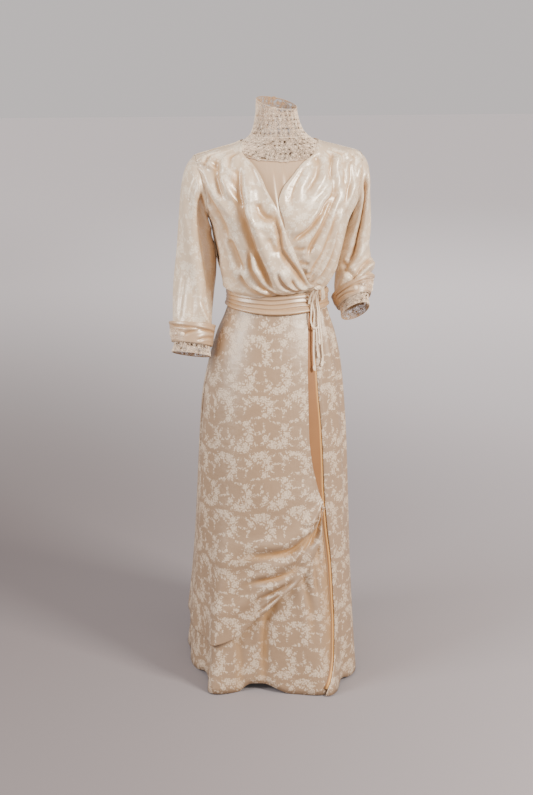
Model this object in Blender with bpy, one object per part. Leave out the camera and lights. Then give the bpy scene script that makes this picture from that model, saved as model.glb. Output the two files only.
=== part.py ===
"""A woman's silk tea gown of about 1910, in the hollow form that it has when worn.

Every piece of cloth is cut flat as a grid, given its thickness, and wrapped on a figure made of
cross-sections. A place on the figure is a turn round it, in degrees from the centre front towards
the wearer's left, and a height above the hem. Layers lie at their own distance out from the figure.
"""

import math
from collections import namedtuple

import bmesh
import bpy
import numpy as np

# Driving dimensions, in metres. Heights are above the lowest point of the hem.
CARRY_HEIGHT = 1.31  # where the wearer's shoulders carry the gown: the frame's origin
WAIST_HEIGHT = 0.963  # the seam of bodice and skirt, under the sash
SATIN = 0.0016  # wall of the figured satin with its lining
LACE = 0.0014  # wall of the crochet lace
SEAM = 0.0003  # half the gap between two pieces at a seam
SHOULDER_LEAN = 0.015  # rise of the wearer's left shoulder over the right, per metre across
SQUARENESS = 2.2  # exponent of the cross-sections; 2 is an ellipse

# How far each layer's outer face lies from the figure.
UNDERSKIRT_OUT = -0.0102
PLACKET_OUT = -0.0034
YOKE_OUT = 0.0016
CHEMISETTE_OUT = -0.0015
BODICE_OUT = 0.0046
WRAP_OUT = 0.0085  # the right front, where it crosses over the left one
SASH_IN = 0.0064  # the sash's inner face
SASH_WALL = 0.0022
TIE_OUT = 0.0125

Section = namedtuple("Section", "height centre half_width front back")
FIGURE = (
    Section(0.000, -0.006, 0.216, 0.225, 0.280),
    Section(0.100, -0.006, 0.207, 0.212, 0.262),
    Section(0.300, -0.008, 0.194, 0.188, 0.225),
    Section(0.500, -0.011, 0.185, 0.168, 0.195),
    Section(0.700, -0.010, 0.175, 0.150, 0.170),
    Section(0.800, -0.006, 0.162, 0.135, 0.152),
    Section(0.870, -0.003, 0.145, 0.119, 0.132),
    Section(0.920, -0.001, 0.126, 0.104, 0.110),
    Section(0.960, 0.000, 0.1135, 0.092, 0.090),
    Section(1.000, 0.001, 0.120, 0.100, 0.090),
    Section(1.040, 0.002, 0.136, 0.120, 0.095),
    Section(1.100, 0.003, 0.151, 0.134, 0.103),
    Section(1.150, 0.004, 0.163, 0.136, 0.108),
    Section(1.190, 0.004, 0.184, 0.128, 0.108),
    Section(1.220, 0.003, 0.199, 0.118, 0.106),
    Section(1.260, 0.002, 0.2085, 0.101, 0.099),
    Section(1.285, 0.001, 0.2095, 0.088, 0.091),
    Section(1.300, 0.000, 0.2020, 0.080, 0.084),
    Section(1.315, 0.001, 0.155, 0.072, 0.075),
    Section(1.330, 0.002, 0.100, 0.064, 0.067),
    Section(1.347, 0.002, 0.070, 0.060, 0.061),
    Section(1.362, 0.000, 0.059, 0.056, 0.057),
    Section(1.385, -0.002, 0.051, 0.051, 0.052),
    Section(1.410, -0.003, 0.0470, 0.0475, 0.049),
    Section(1.440, -0.003, 0.0460, 0.0465, 0.048),
)

# Long soft flutes of the skirt: where each stands, its half-width and reach at the hem, and its top.
Flute = namedtuple("Flute", "turn width reach top")
FLUTES = (
    Flute(-94, 12, 0.010, 0.45),
    Flute(-72, 8, -0.006, 0.40),
    Flute(-47, 10, 0.050, 0.50),
    Flute(-20, 13, -0.020, 0.55),
    Flute(19, 13, 0.036, 0.55),
    Flute(40, 9, -0.008, 0.45),
    Flute(82, 14, -0.026, 0.45),
    Flute(126, 15, 0.068, 0.75),
    Flute(152, 11, -0.012, 0.75),
    Flute(178, 13, 0.030, 0.85),
    Flute(208, 11, -0.014, 0.75),
    Flute(238, 13, 0.030, 0.80),
)
HEM_LIFT = 0.009  # how far the hem rises between two flutes

# The armhole lies in a nearly upright plane; its distance from the centre grows with height.
Armhole = namedtuple("Armhole", "height reach")
ARMHOLE = (Armhole(1.165, 0.1695), Armhole(1.200, 0.176), Armhole(1.250, 0.188), Armhole(1.305, 0.1985))

# Edges of the front pieces, from the shoulder seam down. The side edge follows the armhole.
FrontRow = namedtuple("FrontRow", "edge_turn edge_height side_height")
RIGHT_FRONT = (
    FrontRow(-90, 1.3350, 1.3025),
    FrontRow(-76, 1.3335, 1.2975),
    FrontRow(-60, 1.3300, 1.2920),
    FrontRow(-40, 1.3180, 1.2810),
    FrontRow(-22, 1.2980, 1.2640),
    FrontRow(-15, 1.2620, 1.2350),
    FrontRow(-12, 1.2260, 1.2080),
    FrontRow(-8, 1.1900, 1.1790),
    FrontRow(-5, 1.1580, 1.1500),
    FrontRow(-1, 1.1220, 1.1120),
    FrontRow(4, 1.0880, 1.0780),
    FrontRow(9, 1.0580, 1.0480),
    FrontRow(17, 1.0280, 1.0180),
    FrontRow(24.5, 1.0130, 0.9990),
    FrontRow(31, 1.0020, 0.9890),
)
LEFT_FRONT = (
    FrontRow(90, 1.3350, 1.3025),
    FrontRow(75, 1.3335, 1.2975),
    FrontRow(57, 1.3300, 1.2920),
    FrontRow(34, 1.3200, 1.2810),
    FrontRow(13, 1.2950, 1.2640),
    FrontRow(3, 1.2600, 1.2350),
    FrontRow(-3, 1.2280, 1.2080),
    FrontRow(-6, 1.1960, 1.1790),
    FrontRow(-4, 1.1620, 1.1500),
    FrontRow(-3, 1.1250, 1.1120),
    FrontRow(-7, 1.0900, 1.0780),
    FrontRow(-11, 1.0500, 1.0400),
    FrontRow(-14, 1.0100, 1.0050),
    FrontRow(-16, 0.9820, 0.9820),
    FrontRow(-17, 0.9633, 0.9633),
)

# Folds of a piece, as lines across its grid: the share across it at five shares of its length, the
# half-width as a share across, the height out, and where along the piece it fades in and out.
Fold = namedtuple("Fold", "at_0 at_25 at_50 at_75 at_100 width out start end")
RIGHT_FRONT_FOLDS = (
    Fold(0.06, 0.03, 0.03, 0.03, 0.03, 0.030, 0.0030, 0.05, 1.00),
    Fold(0.18, 0.25, 0.20, 0.13, 0.11, 0.050, 0.0040, 0.00, 1.00),
    Fold(0.30, 0.39, 0.29, 0.19, 0.17, 0.045, 0.0075, 0.00, 1.00),
    Fold(0.38, 0.47, 0.39, 0.29, 0.27, 0.035, -0.0015, 0.02, 1.00),
    Fold(0.48, 0.56, 0.48, 0.38, 0.35, 0.050, 0.0065, 0.00, 1.00),
    Fold(0.62, 0.66, 0.60, 0.52, 0.47, 0.030, -0.0012, 0.02, 0.80),
    Fold(0.74, 0.76, 0.72, 0.66, 0.60, 0.055, 0.0045, 0.00, 0.95),
    Fold(0.88, 0.90, 0.88, 0.84, 0.80, 0.045, 0.0030, 0.00, 0.90),
)
LEFT_FRONT_FOLDS = (
    Fold(0.08, 0.10, 0.05, 0.05, 0.05, 0.035, 0.0035, 0.00, 0.55),
    Fold(0.24, 0.24, 0.20, 0.10, 0.05, 0.050, 0.0060, 0.00, 0.62),
    Fold(0.36, 0.40, 0.36, 0.14, 0.05, 0.040, 0.0068, 0.00, 0.80),
    Fold(0.47, 0.50, 0.46, 0.22, 0.12, 0.030, -0.0012, 0.02, 0.85),
    Fold(0.56, 0.60, 0.56, 0.33, 0.24, 0.045, 0.0066, 0.00, 1.00),
    Fold(0.67, 0.70, 0.66, 0.46, 0.36, 0.030, -0.0012, 0.02, 0.95),
    Fold(0.78, 0.80, 0.76, 0.60, 0.48, 0.045, 0.0065, 0.00, 1.00),
    Fold(0.91, 0.92, 0.90, 0.82, 0.70, 0.040, 0.0035, 0.00, 1.00),
)
BACK_FOLDS = (
    Fold(0.20, 0.19, 0.22, 0.28, 0.32, 0.035, 0.0035, 0.30, 1.00),
    Fold(0.34, 0.33, 0.35, 0.38, 0.40, 0.030, 0.0040, 0.35, 1.00),
    Fold(0.50, 0.50, 0.50, 0.50, 0.50, 0.025, 0.0035, 0.45, 1.00),
    Fold(0.66, 0.67, 0.65, 0.62, 0.60, 0.030, 0.0040, 0.35, 1.00),
    Fold(0.80, 0.81, 0.78, 0.72, 0.68, 0.035, 0.0035, 0.30, 1.00),
)
BACK_HEIGHTS = (1.3345, 1.326, 1.314, 1.3025, 1.2975, 1.284, 1.258, 1.225, 1.196, 1.176, 1.150,
                1.108, 1.060, 1.015, 0.984, 0.9633)
NECK_HALF_TURN = 90.0

# The overskirt's front is caught up to a knot beside the left panel. Its lower edge and the upper
# line of the caught folds both sweep down from there round the wearer's right side.
Sweep = namedtuple("Sweep", "turn fold_height hem_height")
SWEEP = (
    Sweep(-90, 0.338, 0.106),
    Sweep(-70, 0.334, 0.104),
    Sweep(-52, 0.333, 0.108),
    Sweep(-40, 0.335, 0.120),
    Sweep(-30, 0.342, 0.142),
    Sweep(-22, 0.349, 0.166),
    Sweep(-12, 0.356, 0.202),
    Sweep(-4, 0.366, 0.232),
    Sweep(4, 0.382, 0.272),
    Sweep(10, 0.399, 0.300),
    Sweep(16, 0.420, 0.330),
    Sweep(22, 0.445, 0.364),
    Sweep(26, 0.464, 0.400),
    Sweep(28, 0.474, 0.434),
    Sweep(29, 0.480, 0.456),
)
CAUGHT_SHARE = 0.60  # share of the overskirt's length at the upper line of the caught folds
SWAG_FOLDS = (  # at_0 is the wearer's right side, at_100 the knot
    Fold(0.45, 0.45, 0.47, 0.50, 0.53, 0.050, 0.0045, 0.40, 1.00),
    Fold(0.60, 0.60, 0.60, 0.60, 0.60, 0.050, 0.0085, 0.05, 1.00),
    Fold(0.73, 0.73, 0.73, 0.73, 0.72, 0.040, 0.0075, 0.25, 1.00),
    Fold(0.85, 0.85, 0.85, 0.85, 0.84, 0.040, 0.0070, 0.10, 1.00),
    Fold(0.97, 0.97, 0.97, 0.97, 0.96, 0.030, 0.0040, 0.30, 1.00),
)

# Front edges of the skirt's pieces at the wearer's left, by height.
Edge = namedtuple("Edge", "height overskirt panel placket")
LEFT_EDGES = (
    Edge(0.000, 27.0, 17.5, 15.5),
    Edge(0.040, 29.0, 23.5, 21.5),
    Edge(0.100, 29.0, 30.0, 28.0),
    Edge(0.190, 29.0, 34.0, 31.5),
    Edge(0.300, 29.0, 34.5, 31.0),
    Edge(0.410, 29.0, 32.5, 28.5),
    Edge(0.450, 29.0, 31.5, 26.0),
    Edge(0.500, 26.5, 30.5, 17.0),
    Edge(0.570, 20.5, 29.0, 13.0),
    Edge(0.640, 18.0, 27.0, 12.0),
    Edge(0.780, 18.3, 25.0, 13.0),
    Edge(0.830, 19.3, 25.5, 14.0),
    Edge(0.900, 23.5, 31.0, 18.0),
    Edge(0.963, 33.0, 45.0, 22.0),
)
LEFT_SEAM_TURN = 92.0
RIGHT_SEAM_TURN = -90.0
BACK_HEM_LEFT = 0.080  # the overskirt's hem behind the left side seam
BACK_HEM_RIGHT = 0.106
PANEL_FOLDS = (
    Fold(0.03, 0.03, 0.03, 0.03, 0.03, 0.050, 0.0035, 0.00, 1.00),
    Fold(0.28, 0.30, 0.32, 0.34, 0.36, 0.070, 0.0040, 0.00, 0.75),
    Fold(0.55, 0.56, 0.58, 0.60, 0.62, 0.070, 0.0040, 0.00, 0.75),
)
BACK_SKIRT_FOLDS = (
    Fold(0.42, 0.40, 0.38, 0.36, 0.35, 0.030, 0.0050, 0.00, 0.70),
    Fold(0.50, 0.50, 0.50, 0.50, 0.50, 0.030, 0.0060, 0.00, 0.80),
    Fold(0.58, 0.60, 0.62, 0.64, 0.65, 0.030, 0.0050, 0.00, 0.70),
)

# The sleeves, from the armhole down: the outer and inner points of each ring, the place of its
# middle to the back, its half-depth and how far its plane is pitched up at the front.
Ring = namedtuple("Ring", "outer_x outer_height inner_x inner_height back half_depth pitch")
RIGHT_ARM = (
    Ring(0.1990, 1.3025, 0.1660, 1.1700, 0.000, 0.058, 0),
    Ring(0.2130, 1.2920, 0.1730, 1.1640, 0.001, 0.060, 0),
    Ring(0.2260, 1.2600, 0.1745, 1.1560, 0.003, 0.059, 0),
    Ring(0.2320, 1.2150, 0.1725, 1.1430, 0.006, 0.057, 0),
    Ring(0.2350, 1.1600, 0.1670, 1.1180, 0.010, 0.054, 0),
    Ring(0.2400, 1.0900, 0.1540, 1.0750, 0.014, 0.051, 3),
    Ring(0.2470, 1.0300, 0.1510, 1.0250, 0.014, 0.049, 6),
    Ring(0.2530, 0.9750, 0.1570, 0.9700, 0.008, 0.047, 10),
    Ring(0.2570, 0.9250, 0.1640, 0.9170, -0.004, 0.046, 13),
    Ring(0.2600, 0.8900, 0.1670, 0.8760, -0.016, 0.045, 15),
    Ring(0.2620, 0.8580, 0.1690, 0.8420, -0.026, 0.045, 16),
    Ring(0.2650, 0.8360, 0.1720, 0.8200, -0.033, 0.046, 17),
)
LEFT_ARM = (
    Ring(0.1990, 1.3025, 0.1750, 1.1700, 0.000, 0.058, 0),
    Ring(0.2130, 1.2920, 0.1820, 1.1640, 0.001, 0.060, 0),
    Ring(0.2230, 1.2600, 0.1835, 1.1560, 0.003, 0.059, 0),
    Ring(0.2260, 1.2180, 0.1815, 1.1430, 0.008, 0.057, 0),
    Ring(0.2270, 1.1700, 0.1770, 1.1220, 0.014, 0.054, 0),
    Ring(0.2290, 1.1200, 0.1660, 1.0880, 0.018, 0.052, 4),
    Ring(0.2320, 1.0800, 0.1580, 1.0500, 0.017, 0.050, 10),
    Ring(0.2350, 1.0450, 0.1500, 1.0130, 0.010, 0.048, 20),
    Ring(0.2340, 1.0130, 0.1445, 0.9780, -0.004, 0.046, 28),
    Ring(0.2290, 0.9850, 0.1435, 0.9520, -0.022, 0.043, 34),
    Ring(0.2220, 0.9590, 0.1460, 0.9360, -0.042, 0.040, 38),
    Ring(0.2170, 0.9350, 0.1500, 0.9190, -0.060, 0.039, 40),
)
SLEEVE_END = 0.905  # shares of the arm's length
CUFF_TOP = 0.775
LACE_TOP = 0.870
CUFF_FLARE = 0.0090  # how far the turned-back cuff stands off the sleeve at its top
CUFF_CLEAR = 0.0008
RIGHT_SLEEVE_FOLDS = (  # across is the turn round the arm: 0 outer, 0.25 front, 0.5 inner
    Fold(0.06, 0.10, 0.20, 0.32, 0.44, 0.045, 0.0070, 0.08, 1.00),
    Fold(0.30, 0.33, 0.36, 0.42, 0.48, 0.050, -0.0030, 0.10, 0.95),
    Fold(0.95, 0.97, 1.00, 1.02, 1.04, 0.040, 0.0030, 0.10, 0.80),
    Fold(0.70, 0.72, 0.74, 0.76, 0.78, 0.050, 0.0040, 0.15, 1.00),
)
LEFT_SLEEVE_FOLDS = (
    Fold(0.00, 0.02, 0.14, 0.38, 0.47, 0.050, 0.0075, 0.15, 0.95),
    Fold(0.20, 0.24, 0.32, 0.46, 0.49, 0.050, -0.0030, 0.15, 0.85),
    Fold(0.10, 0.10, 0.10, 0.12, 0.06, 0.050, 0.0060, 0.55, 1.00),
    Fold(0.70, 0.72, 0.74, 0.76, 0.78, 0.050, 0.0040, 0.15, 1.00),
)

# Lower edge of the lace yoke at the front.
YokeEdge = namedtuple("YokeEdge", "turn height")
YOKE_EDGE = (YokeEdge(0, 1.292), YokeEdge(12, 1.296), YokeEdge(28, 1.307), YokeEdge(45, 1.318),
             YokeEdge(65, 1.326), YokeEdge(90, 1.331))
COLLAR_BASE = 1.3470
COLLAR_TOP = 1.4255
COLLAR_TILT_BACK = 0.0115  # the top edge rises this much to the back and falls as much in front
COLLAR_TILT_SIDE = 0.0085
YOKE_BACK_HEIGHT = 1.326
CHEMISETTE_LOW = 1.095
CHEMISETTE_TURN = 46.0
TUCK_TURNS = (-7.0, -1.5, 4.0, 9.5)
TUCK_OUT = 0.0009

SASH_TOP = 0.9845
SASH_LOW = 0.9400
SASH_DIP = 0.0110  # the front dips by this much at its lower edge
SASH_PLEATS = 2
SASH_PLEAT_OUT = 0.0032

# The tie: a knot over the sash, two loops and four ends, each a narrow folded ribbon that follows
# the gown. A ribbon's points give the turn, height, distance out, and half-width there.
Point = namedtuple("Point", "turn height out half_width")
RIBBONS = {
    "tie_loop_wide": (
        Point(36.6, 1.0085, 0.0250, 0.0035), Point(38.4, 0.9990, 0.0255, 0.0048),
        Point(41.2, 0.9850, 0.0255, 0.0060), Point(44.0, 0.9720, 0.0230, 0.0072),
        Point(45.0, 0.9640, 0.0220, 0.0068),
    ),
    "tie_loop_short": (
        Point(27.4, 0.9990, 0.0268, 0.0024), Point(25.8, 0.9820, 0.0215, 0.0028),
        Point(26.4, 0.9680, 0.0180, 0.0032), Point(26.4, 0.9570, 0.0165, 0.0036),
        Point(26.2, 0.9520, 0.0160, 0.0028),
    ),
    "tie_loop_long": (
        Point(30.0, 0.9972, 0.0268, 0.0020), Point(29.6, 0.9660, 0.0210, 0.0022),
        Point(28.6, 0.9440, 0.0170, 0.0022), Point(27.0, 0.9280, 0.0150, 0.0022),
        Point(25.6, 0.9110, 0.0115, 0.0022), Point(26.0, 0.8990, 0.0125, 0.0022),
        Point(29.0, 0.8940, 0.0150, 0.0022), Point(32.2, 0.8970, 0.0155, 0.0022),
        Point(33.6, 0.9130, 0.0160, 0.0022), Point(35.4, 0.9380, 0.0190, 0.0022),
        Point(34.0, 0.9760, 0.0235, 0.0020),
    ),
    "tie_end_upper": (
        Point(35.0, 0.9945, 0.0185, 0.0020), Point(37.6, 0.9380, 0.0135, 0.0021),
        Point(35.8, 0.9120, 0.0092, 0.0021), Point(33.9, 0.8900, 0.0082, 0.0021),
        Point(32.8, 0.8720, 0.0080, 0.0021), Point(32.3, 0.8630, 0.0082, 0.0038),
        Point(32.0, 0.8560, 0.0082, 0.0026),
    ),
    "tie_end_middle": (
        Point(32.4, 0.9945, 0.0185, 0.0020), Point(34.9, 0.9380, 0.0135, 0.0021),
        Point(33.0, 0.9120, 0.0092, 0.0021), Point(31.0, 0.8900, 0.0082, 0.0021),
        Point(29.5, 0.8640, 0.0078, 0.0021), Point(29.0, 0.8440, 0.0078, 0.0021),
        Point(29.2, 0.8330, 0.0080, 0.0040), Point(29.1, 0.8260, 0.0080, 0.0026),
    ),
    "tie_end_outer": (
        Point(37.8, 0.9945, 0.0185, 0.0020), Point(40.6, 0.9380, 0.0135, 0.0021),
        Point(38.9, 0.9180, 0.0102, 0.0021), Point(37.2, 0.8960, 0.0088, 0.0021),
        Point(35.4, 0.8700, 0.0084, 0.0021), Point(34.4, 0.8450, 0.0082, 0.0021),
        Point(33.8, 0.8270, 0.0082, 0.0024), Point(32.2, 0.8110, 0.0082, 0.0042),
        Point(31.2, 0.8050, 0.0082, 0.0028),
    ),
    "tie_end_long": (
        Point(29.8, 0.9945, 0.0185, 0.0020), Point(32.0, 0.9380, 0.0135, 0.0021),
        Point(29.6, 0.9080, 0.0095, 0.0022), Point(27.0, 0.8820, 0.0082, 0.0022),
        Point(24.8, 0.8460, 0.0074, 0.0022), Point(24.0, 0.8150, 0.0074, 0.0022),
        Point(24.0, 0.8040, 0.0078, 0.0044), Point(24.2, 0.7965, 0.0078, 0.0028),
    ),
}
KNOT = Point(30.5, 1.0065, 0.0215, 0.0100)
RIBBON_THICK = 0.0024
RIBBON_SIDES = 6

# Crochet trimmings on the turned-back cuffs: shares round and down the cuff.
Trim = namedtuple("Trim", "across half_across top low")
RIGHT_TRIM = Trim(0.045, 0.085, 0.36, 0.88)
LEFT_TRIM = Trim(0.125, 0.110, 0.22, 0.90)
TRIM_THICK = 0.0022
ROSETTES = 3
ROSETTE_OUT = 0.0018
BUTTON_RADIUS = 0.0055


def column(table, name):
    return np.array([getattr(row, name) for row in table], float)


def smooth(knots, values, at):
    """A curve through the values that never overshoots them."""
    step = np.diff(knots)
    slope = np.diff(values) / step
    tangent = np.empty(len(knots))
    tangent[0], tangent[-1] = slope[0], slope[-1]
    both = slope[:-1] * slope[1:]
    total = slope[:-1] + slope[1:]
    tangent[1:-1] = np.where(both > 0, 2 * both / np.where(total == 0, 1, total), 0)
    at = np.clip(at, knots[0], knots[-1])
    k = np.clip(np.searchsorted(knots, at) - 1, 0, len(knots) - 2)
    s = (at - knots[k]) / step[k]
    start = values[k] * (1 + 2 * s) * (1 - s) ** 2 + step[k] * tangent[k] * s * (1 - s) ** 2
    end = values[k + 1] * s * s * (3 - 2 * s) - step[k] * tangent[k + 1] * s * s * (1 - s)
    return start + end


def read(table, key, name, at):
    """A column of a table, read at places along its key column."""
    return smooth(column(table, key), column(table, name), at)


def along(table, name, share):
    """A column of a table, read at shares of its length, with its rows evenly spaced."""
    return smooth(np.linspace(0, 1, len(table)), column(table, name), share)


def ramp(low, high, at):
    s = np.clip((np.asarray(at, float) - low) / (high - low), 0, 1)
    return s * s * (3 - 2 * s)


def mix(a, b, share):
    return a + (b - a) * share


def bump(at, centre, width):
    return np.exp(-(((at - centre) / width) ** 2))


def figure(turn, height):
    """Points on the figure that the gown is worn on."""
    turn, height = np.broadcast_arrays(np.radians(turn), height)
    centre, half_width, front, back = (
        read(FIGURE, "height", name, height) for name in Section._fields[1:]
    )
    across, ahead = np.sin(turn), np.cos(turn)
    power = 2 / SQUARENESS
    x = centre + half_width * np.sign(across) * np.abs(across) ** power
    y = -np.where(ahead > 0, front, back) * np.sign(ahead) * np.abs(ahead) ** power
    return np.stack([x, y, height], -1)


def outward(turn, height):
    """Unit vectors square to the figure."""
    small_turn, small_height = 0.5, 0.0005
    across = figure(turn + small_turn, height) - figure(turn - small_turn, height)
    up = figure(turn, height + small_height) - figure(turn, height - small_height)
    square = np.cross(across, up)
    return square / np.linalg.norm(square, axis=-1, keepdims=True)


def flute(turn, height):
    """How far the skirt's flutes stand out from the figure."""
    total = np.zeros(np.broadcast(turn, height).shape)
    for f in FLUTES:
        apart = (turn - f.turn + 180) % 360 - 180
        fall = np.clip((f.top - height) / f.top, 0, 1) ** 1.4
        total = total + f.reach * bump(apart, 0, f.width) * fall
    return total


def hem(turn):
    """The height of the hem: it rises a little between two flutes."""
    stand = flute(turn, 0.0)
    return HEM_LIFT * (1 - ramp(-0.012, 0.018, stand))


def lean(points):
    """The wearer's left shoulder is carried a little higher than the right one."""
    points[..., 2] += SHOULDER_LEAN * points[..., 0] * ramp(1.0, 1.25, points[..., 2])
    return points


def on_bare(turn, height, out):
    turn, height, out = np.broadcast_arrays(turn, height, out)
    return figure(turn, height) + outward(turn, height) * out[..., None]


def on_figure(turn, height, out):
    return lean(on_bare(turn, height, out))


def on_skirt(turn, height, out):
    return on_figure(turn, height, out + flute(turn, height))


def fold_height(folds, across, down):
    """The folds' height at shares across and down a piece."""
    total = np.zeros(np.broadcast(across, down).shape)
    fifths = np.linspace(0, 1, 5)
    for f in folds:
        track = smooth(fifths, np.array(f[:5]), down)
        fade = ramp(f.start, f.start + 0.3, down) if f.start > 0 else 1.0
        if f.end < 1:
            fade = fade * (1 - ramp(f.end - 0.2, f.end, down))
        total = total + f.out * bump(across, track, f.width) * fade
    return total


def side_turn(height):
    """The turn where a bodice piece ends at its side: the armhole, or else the seam at 90 degrees."""
    reach = read(ARMHOLE, "height", "reach", height)
    share = np.clip(reach / read(FIGURE, "height", "half_width", height), 0, 1)
    return np.degrees(np.arcsin(share ** (SQUARENESS / 2)))


def seam_inset(height):
    """Half a seam's gap, in degrees at the side."""
    return np.degrees(SEAM / read(FIGURE, "height", "front", height))


def finish_material(name, colour, roughness):
    """One Principled finish, with colour as red, green and blue."""
    made = bpy.data.materials.new(name)
    made.use_nodes = True
    shader = made.node_tree.nodes["Principled BSDF"]
    shader.inputs["Base Color"].default_value = (*colour, 1)
    shader.inputs["Roughness"].default_value = roughness
    shader.inputs["Metallic"].default_value = 0
    return made


SATIN_COLOUR, LACE_COLOUR, PLACKET_COLOUR = (0.80, 0.66, 0.50), (0.78, 0.66, 0.52), (0.62, 0.36, 0.18)


def add_object(name, bm, colour, roughness, carrier):
    mesh = bpy.data.meshes.new(name)
    bmesh.ops.recalc_face_normals(bm, faces=bm.faces)
    if bm.calc_volume(signed=True) < 0:
        bmesh.ops.reverse_faces(bm, faces=bm.faces)
    bm.to_mesh(mesh)
    bm.free()
    mesh.shade_smooth()
    mesh.set_sharp_from_angle(angle=math.radians(50))
    mesh.materials.append(finish_material(name, colour, roughness))
    made = bpy.data.objects.new(name, mesh)
    bpy.context.scene.collection.objects.link(made)
    made.parent = carrier
    return made


def cut_cloth(columns, rows, wall, gaps=(), bar=0.3):
    """A flat unit grid with square gaps in the named cells, given its wall below."""
    bm = bmesh.new()
    bmesh.ops.create_grid(bm, x_segments=columns, y_segments=rows, size=0.5)
    bmesh.ops.translate(bm, verts=bm.verts, vec=(0.5, 0.5, 0))
    bmesh.ops.scale(bm, verts=bm.verts, vec=(columns, rows, 1))
    if gaps:
        cells = {(int(f.calc_center_median().x), int(f.calc_center_median().y)): f for f in bm.faces}
        open_cells = [cells[cell] for cell in gaps]
        bmesh.ops.inset_individual(bm, faces=open_cells, thickness=bar, use_even_offset=True)
        bmesh.ops.delete(bm, geom=open_cells, context="FACES")
    bmesh.ops.scale(bm, verts=bm.verts, vec=(1 / columns, 1 / rows, 1))
    below = bmesh.ops.extrude_face_region(bm, geom=bm.faces[:])["geom"]
    below = [v for v in below if isinstance(v, bmesh.types.BMVert)]
    bmesh.ops.translate(bm, verts=below, vec=(0, 0, -wall))
    return bm


def wrap(bm, place):
    """Moves a flat piece's points to place(across, down, depth below its outer face)."""
    flat = np.array([v.co for v in bm.verts])
    for vertex, point in zip(bm.verts, place(flat[:, 0], flat[:, 1], -flat[:, 2])):
        vertex.co = point


def cloth(name, carrier, grid, place, wall=SATIN, colour=SATIN_COLOUR, roughness=0.4, gaps=(), bar=0.3):
    bm = cut_cloth(*grid, wall, gaps, bar)
    wrap(bm, place)
    return add_object(name, bm, colour, roughness, carrier)


def staggered(columns, rows):
    """Every second cell inside the border, for the gaps of a lace."""
    return [(i, j) for i in range(1, columns - 1) for j in range(1, rows - 1) if (i + j) % 2]


def yoke_edge(turn):
    return read(YOKE_EDGE, "turn", "height", np.abs(turn))


def collar_top(turn):
    angle = np.radians(turn)
    return COLLAR_TOP - COLLAR_TILT_BACK * np.cos(angle) - COLLAR_TILT_SIDE * np.sin(angle)


def make_lace(carrier):
    """The standing collar and the round yoke below it, each a front and a back with open gaps."""
    halves = (("front", -90.0), ("back", 90.0))
    for half, start in halves:

        def place_collar(across, down, depth, start=start):
            height = mix(collar_top(start + 180 * across), COLLAR_BASE + SEAM, down)
            turn = start + seam_inset(height) + (180 - 2 * seam_inset(height)) * across
            return on_figure(turn, height, YOKE_OUT - depth)

        def place_yoke(across, down, depth, start=start):
            turn = start + 0.5 + 179 * across
            low = yoke_edge(turn) if start < 0 else YOKE_BACK_HEIGHT
            height = mix(COLLAR_BASE - SEAM, low, down)
            return on_figure(turn, height, YOKE_OUT - depth)

        grid = (14, 5)
        cloth(f"collar_{half}", carrier, grid, place_collar, LACE, LACE_COLOUR, 0.7, staggered(*grid))
        grid = (14, 4) if start < 0 else (14, 2)
        cloth(f"yoke_{half}", carrier, grid, place_yoke, LACE, LACE_COLOUR, 0.7, staggered(*grid))


def make_chemisette(carrier):
    """The plain satin front that shows in the neck of the crossed bodice, with a few tucks."""

    def place(across, down, depth):
        turn = CHEMISETTE_TURN * (2 * across - 1)
        tucks = sum(bump(turn, t, 1.6) for t in TUCK_TURNS) * TUCK_OUT * (1 - ramp(0, 0.9, 1 - down))
        height = mix(yoke_edge(turn) + 0.005, CHEMISETTE_LOW, down)
        return on_figure(turn, height, CHEMISETTE_OUT + tucks * ramp(0.08, 0.3, down) - depth)

    cloth("chemisette", carrier, (12, 6), place, 0.0012, (0.80, 0.69, 0.56), 0.35)


def front_place(rows, folds, side, sag, out):
    """Places a front piece: straight lines run from its free edge to its side edge."""

    def place(across, down, depth):
        edge_turn = along(rows, "edge_turn", down)
        side_height = along(rows, "side_height", down)
        end_turn = side * (side_turn(side_height) - seam_inset(side_height))
        turn = mix(edge_turn, end_turn, across)
        turn = np.where(down < 1e-6, side * (90 - seam_inset(side_height)), turn)
        height = mix(along(rows, "edge_height", down), side_height, across)
        height = height - sag * ramp(0.8, 1.0, down) * np.sin(np.pi * across)
        gathered = mix(0.35, 1.0, ramp(0.0, 0.30, down))
        shape = out(turn, across, down) + gathered * fold_height(folds, across, down)
        return on_figure(turn, height, shape - depth)

    return place


def right_front_out(turn, across, down):
    """The right front lies over the left one and blouses over the sash at its lower edge."""
    base = mix(BODICE_OUT, WRAP_OUT, ramp(-45, -22, turn) * ramp(0.10, 0.30, down))
    blouse = 0.016 * ramp(0.70, 0.93, down) - 0.0085 * ramp(0.93, 1.0, down)
    return base + blouse * (1 - ramp(0.93, 1.0, across))


def left_front_out(turn, across, down):
    return BODICE_OUT + 0.003 * bump(down, 0.82, 0.06) * ramp(0.5, 0.8, across)


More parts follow.
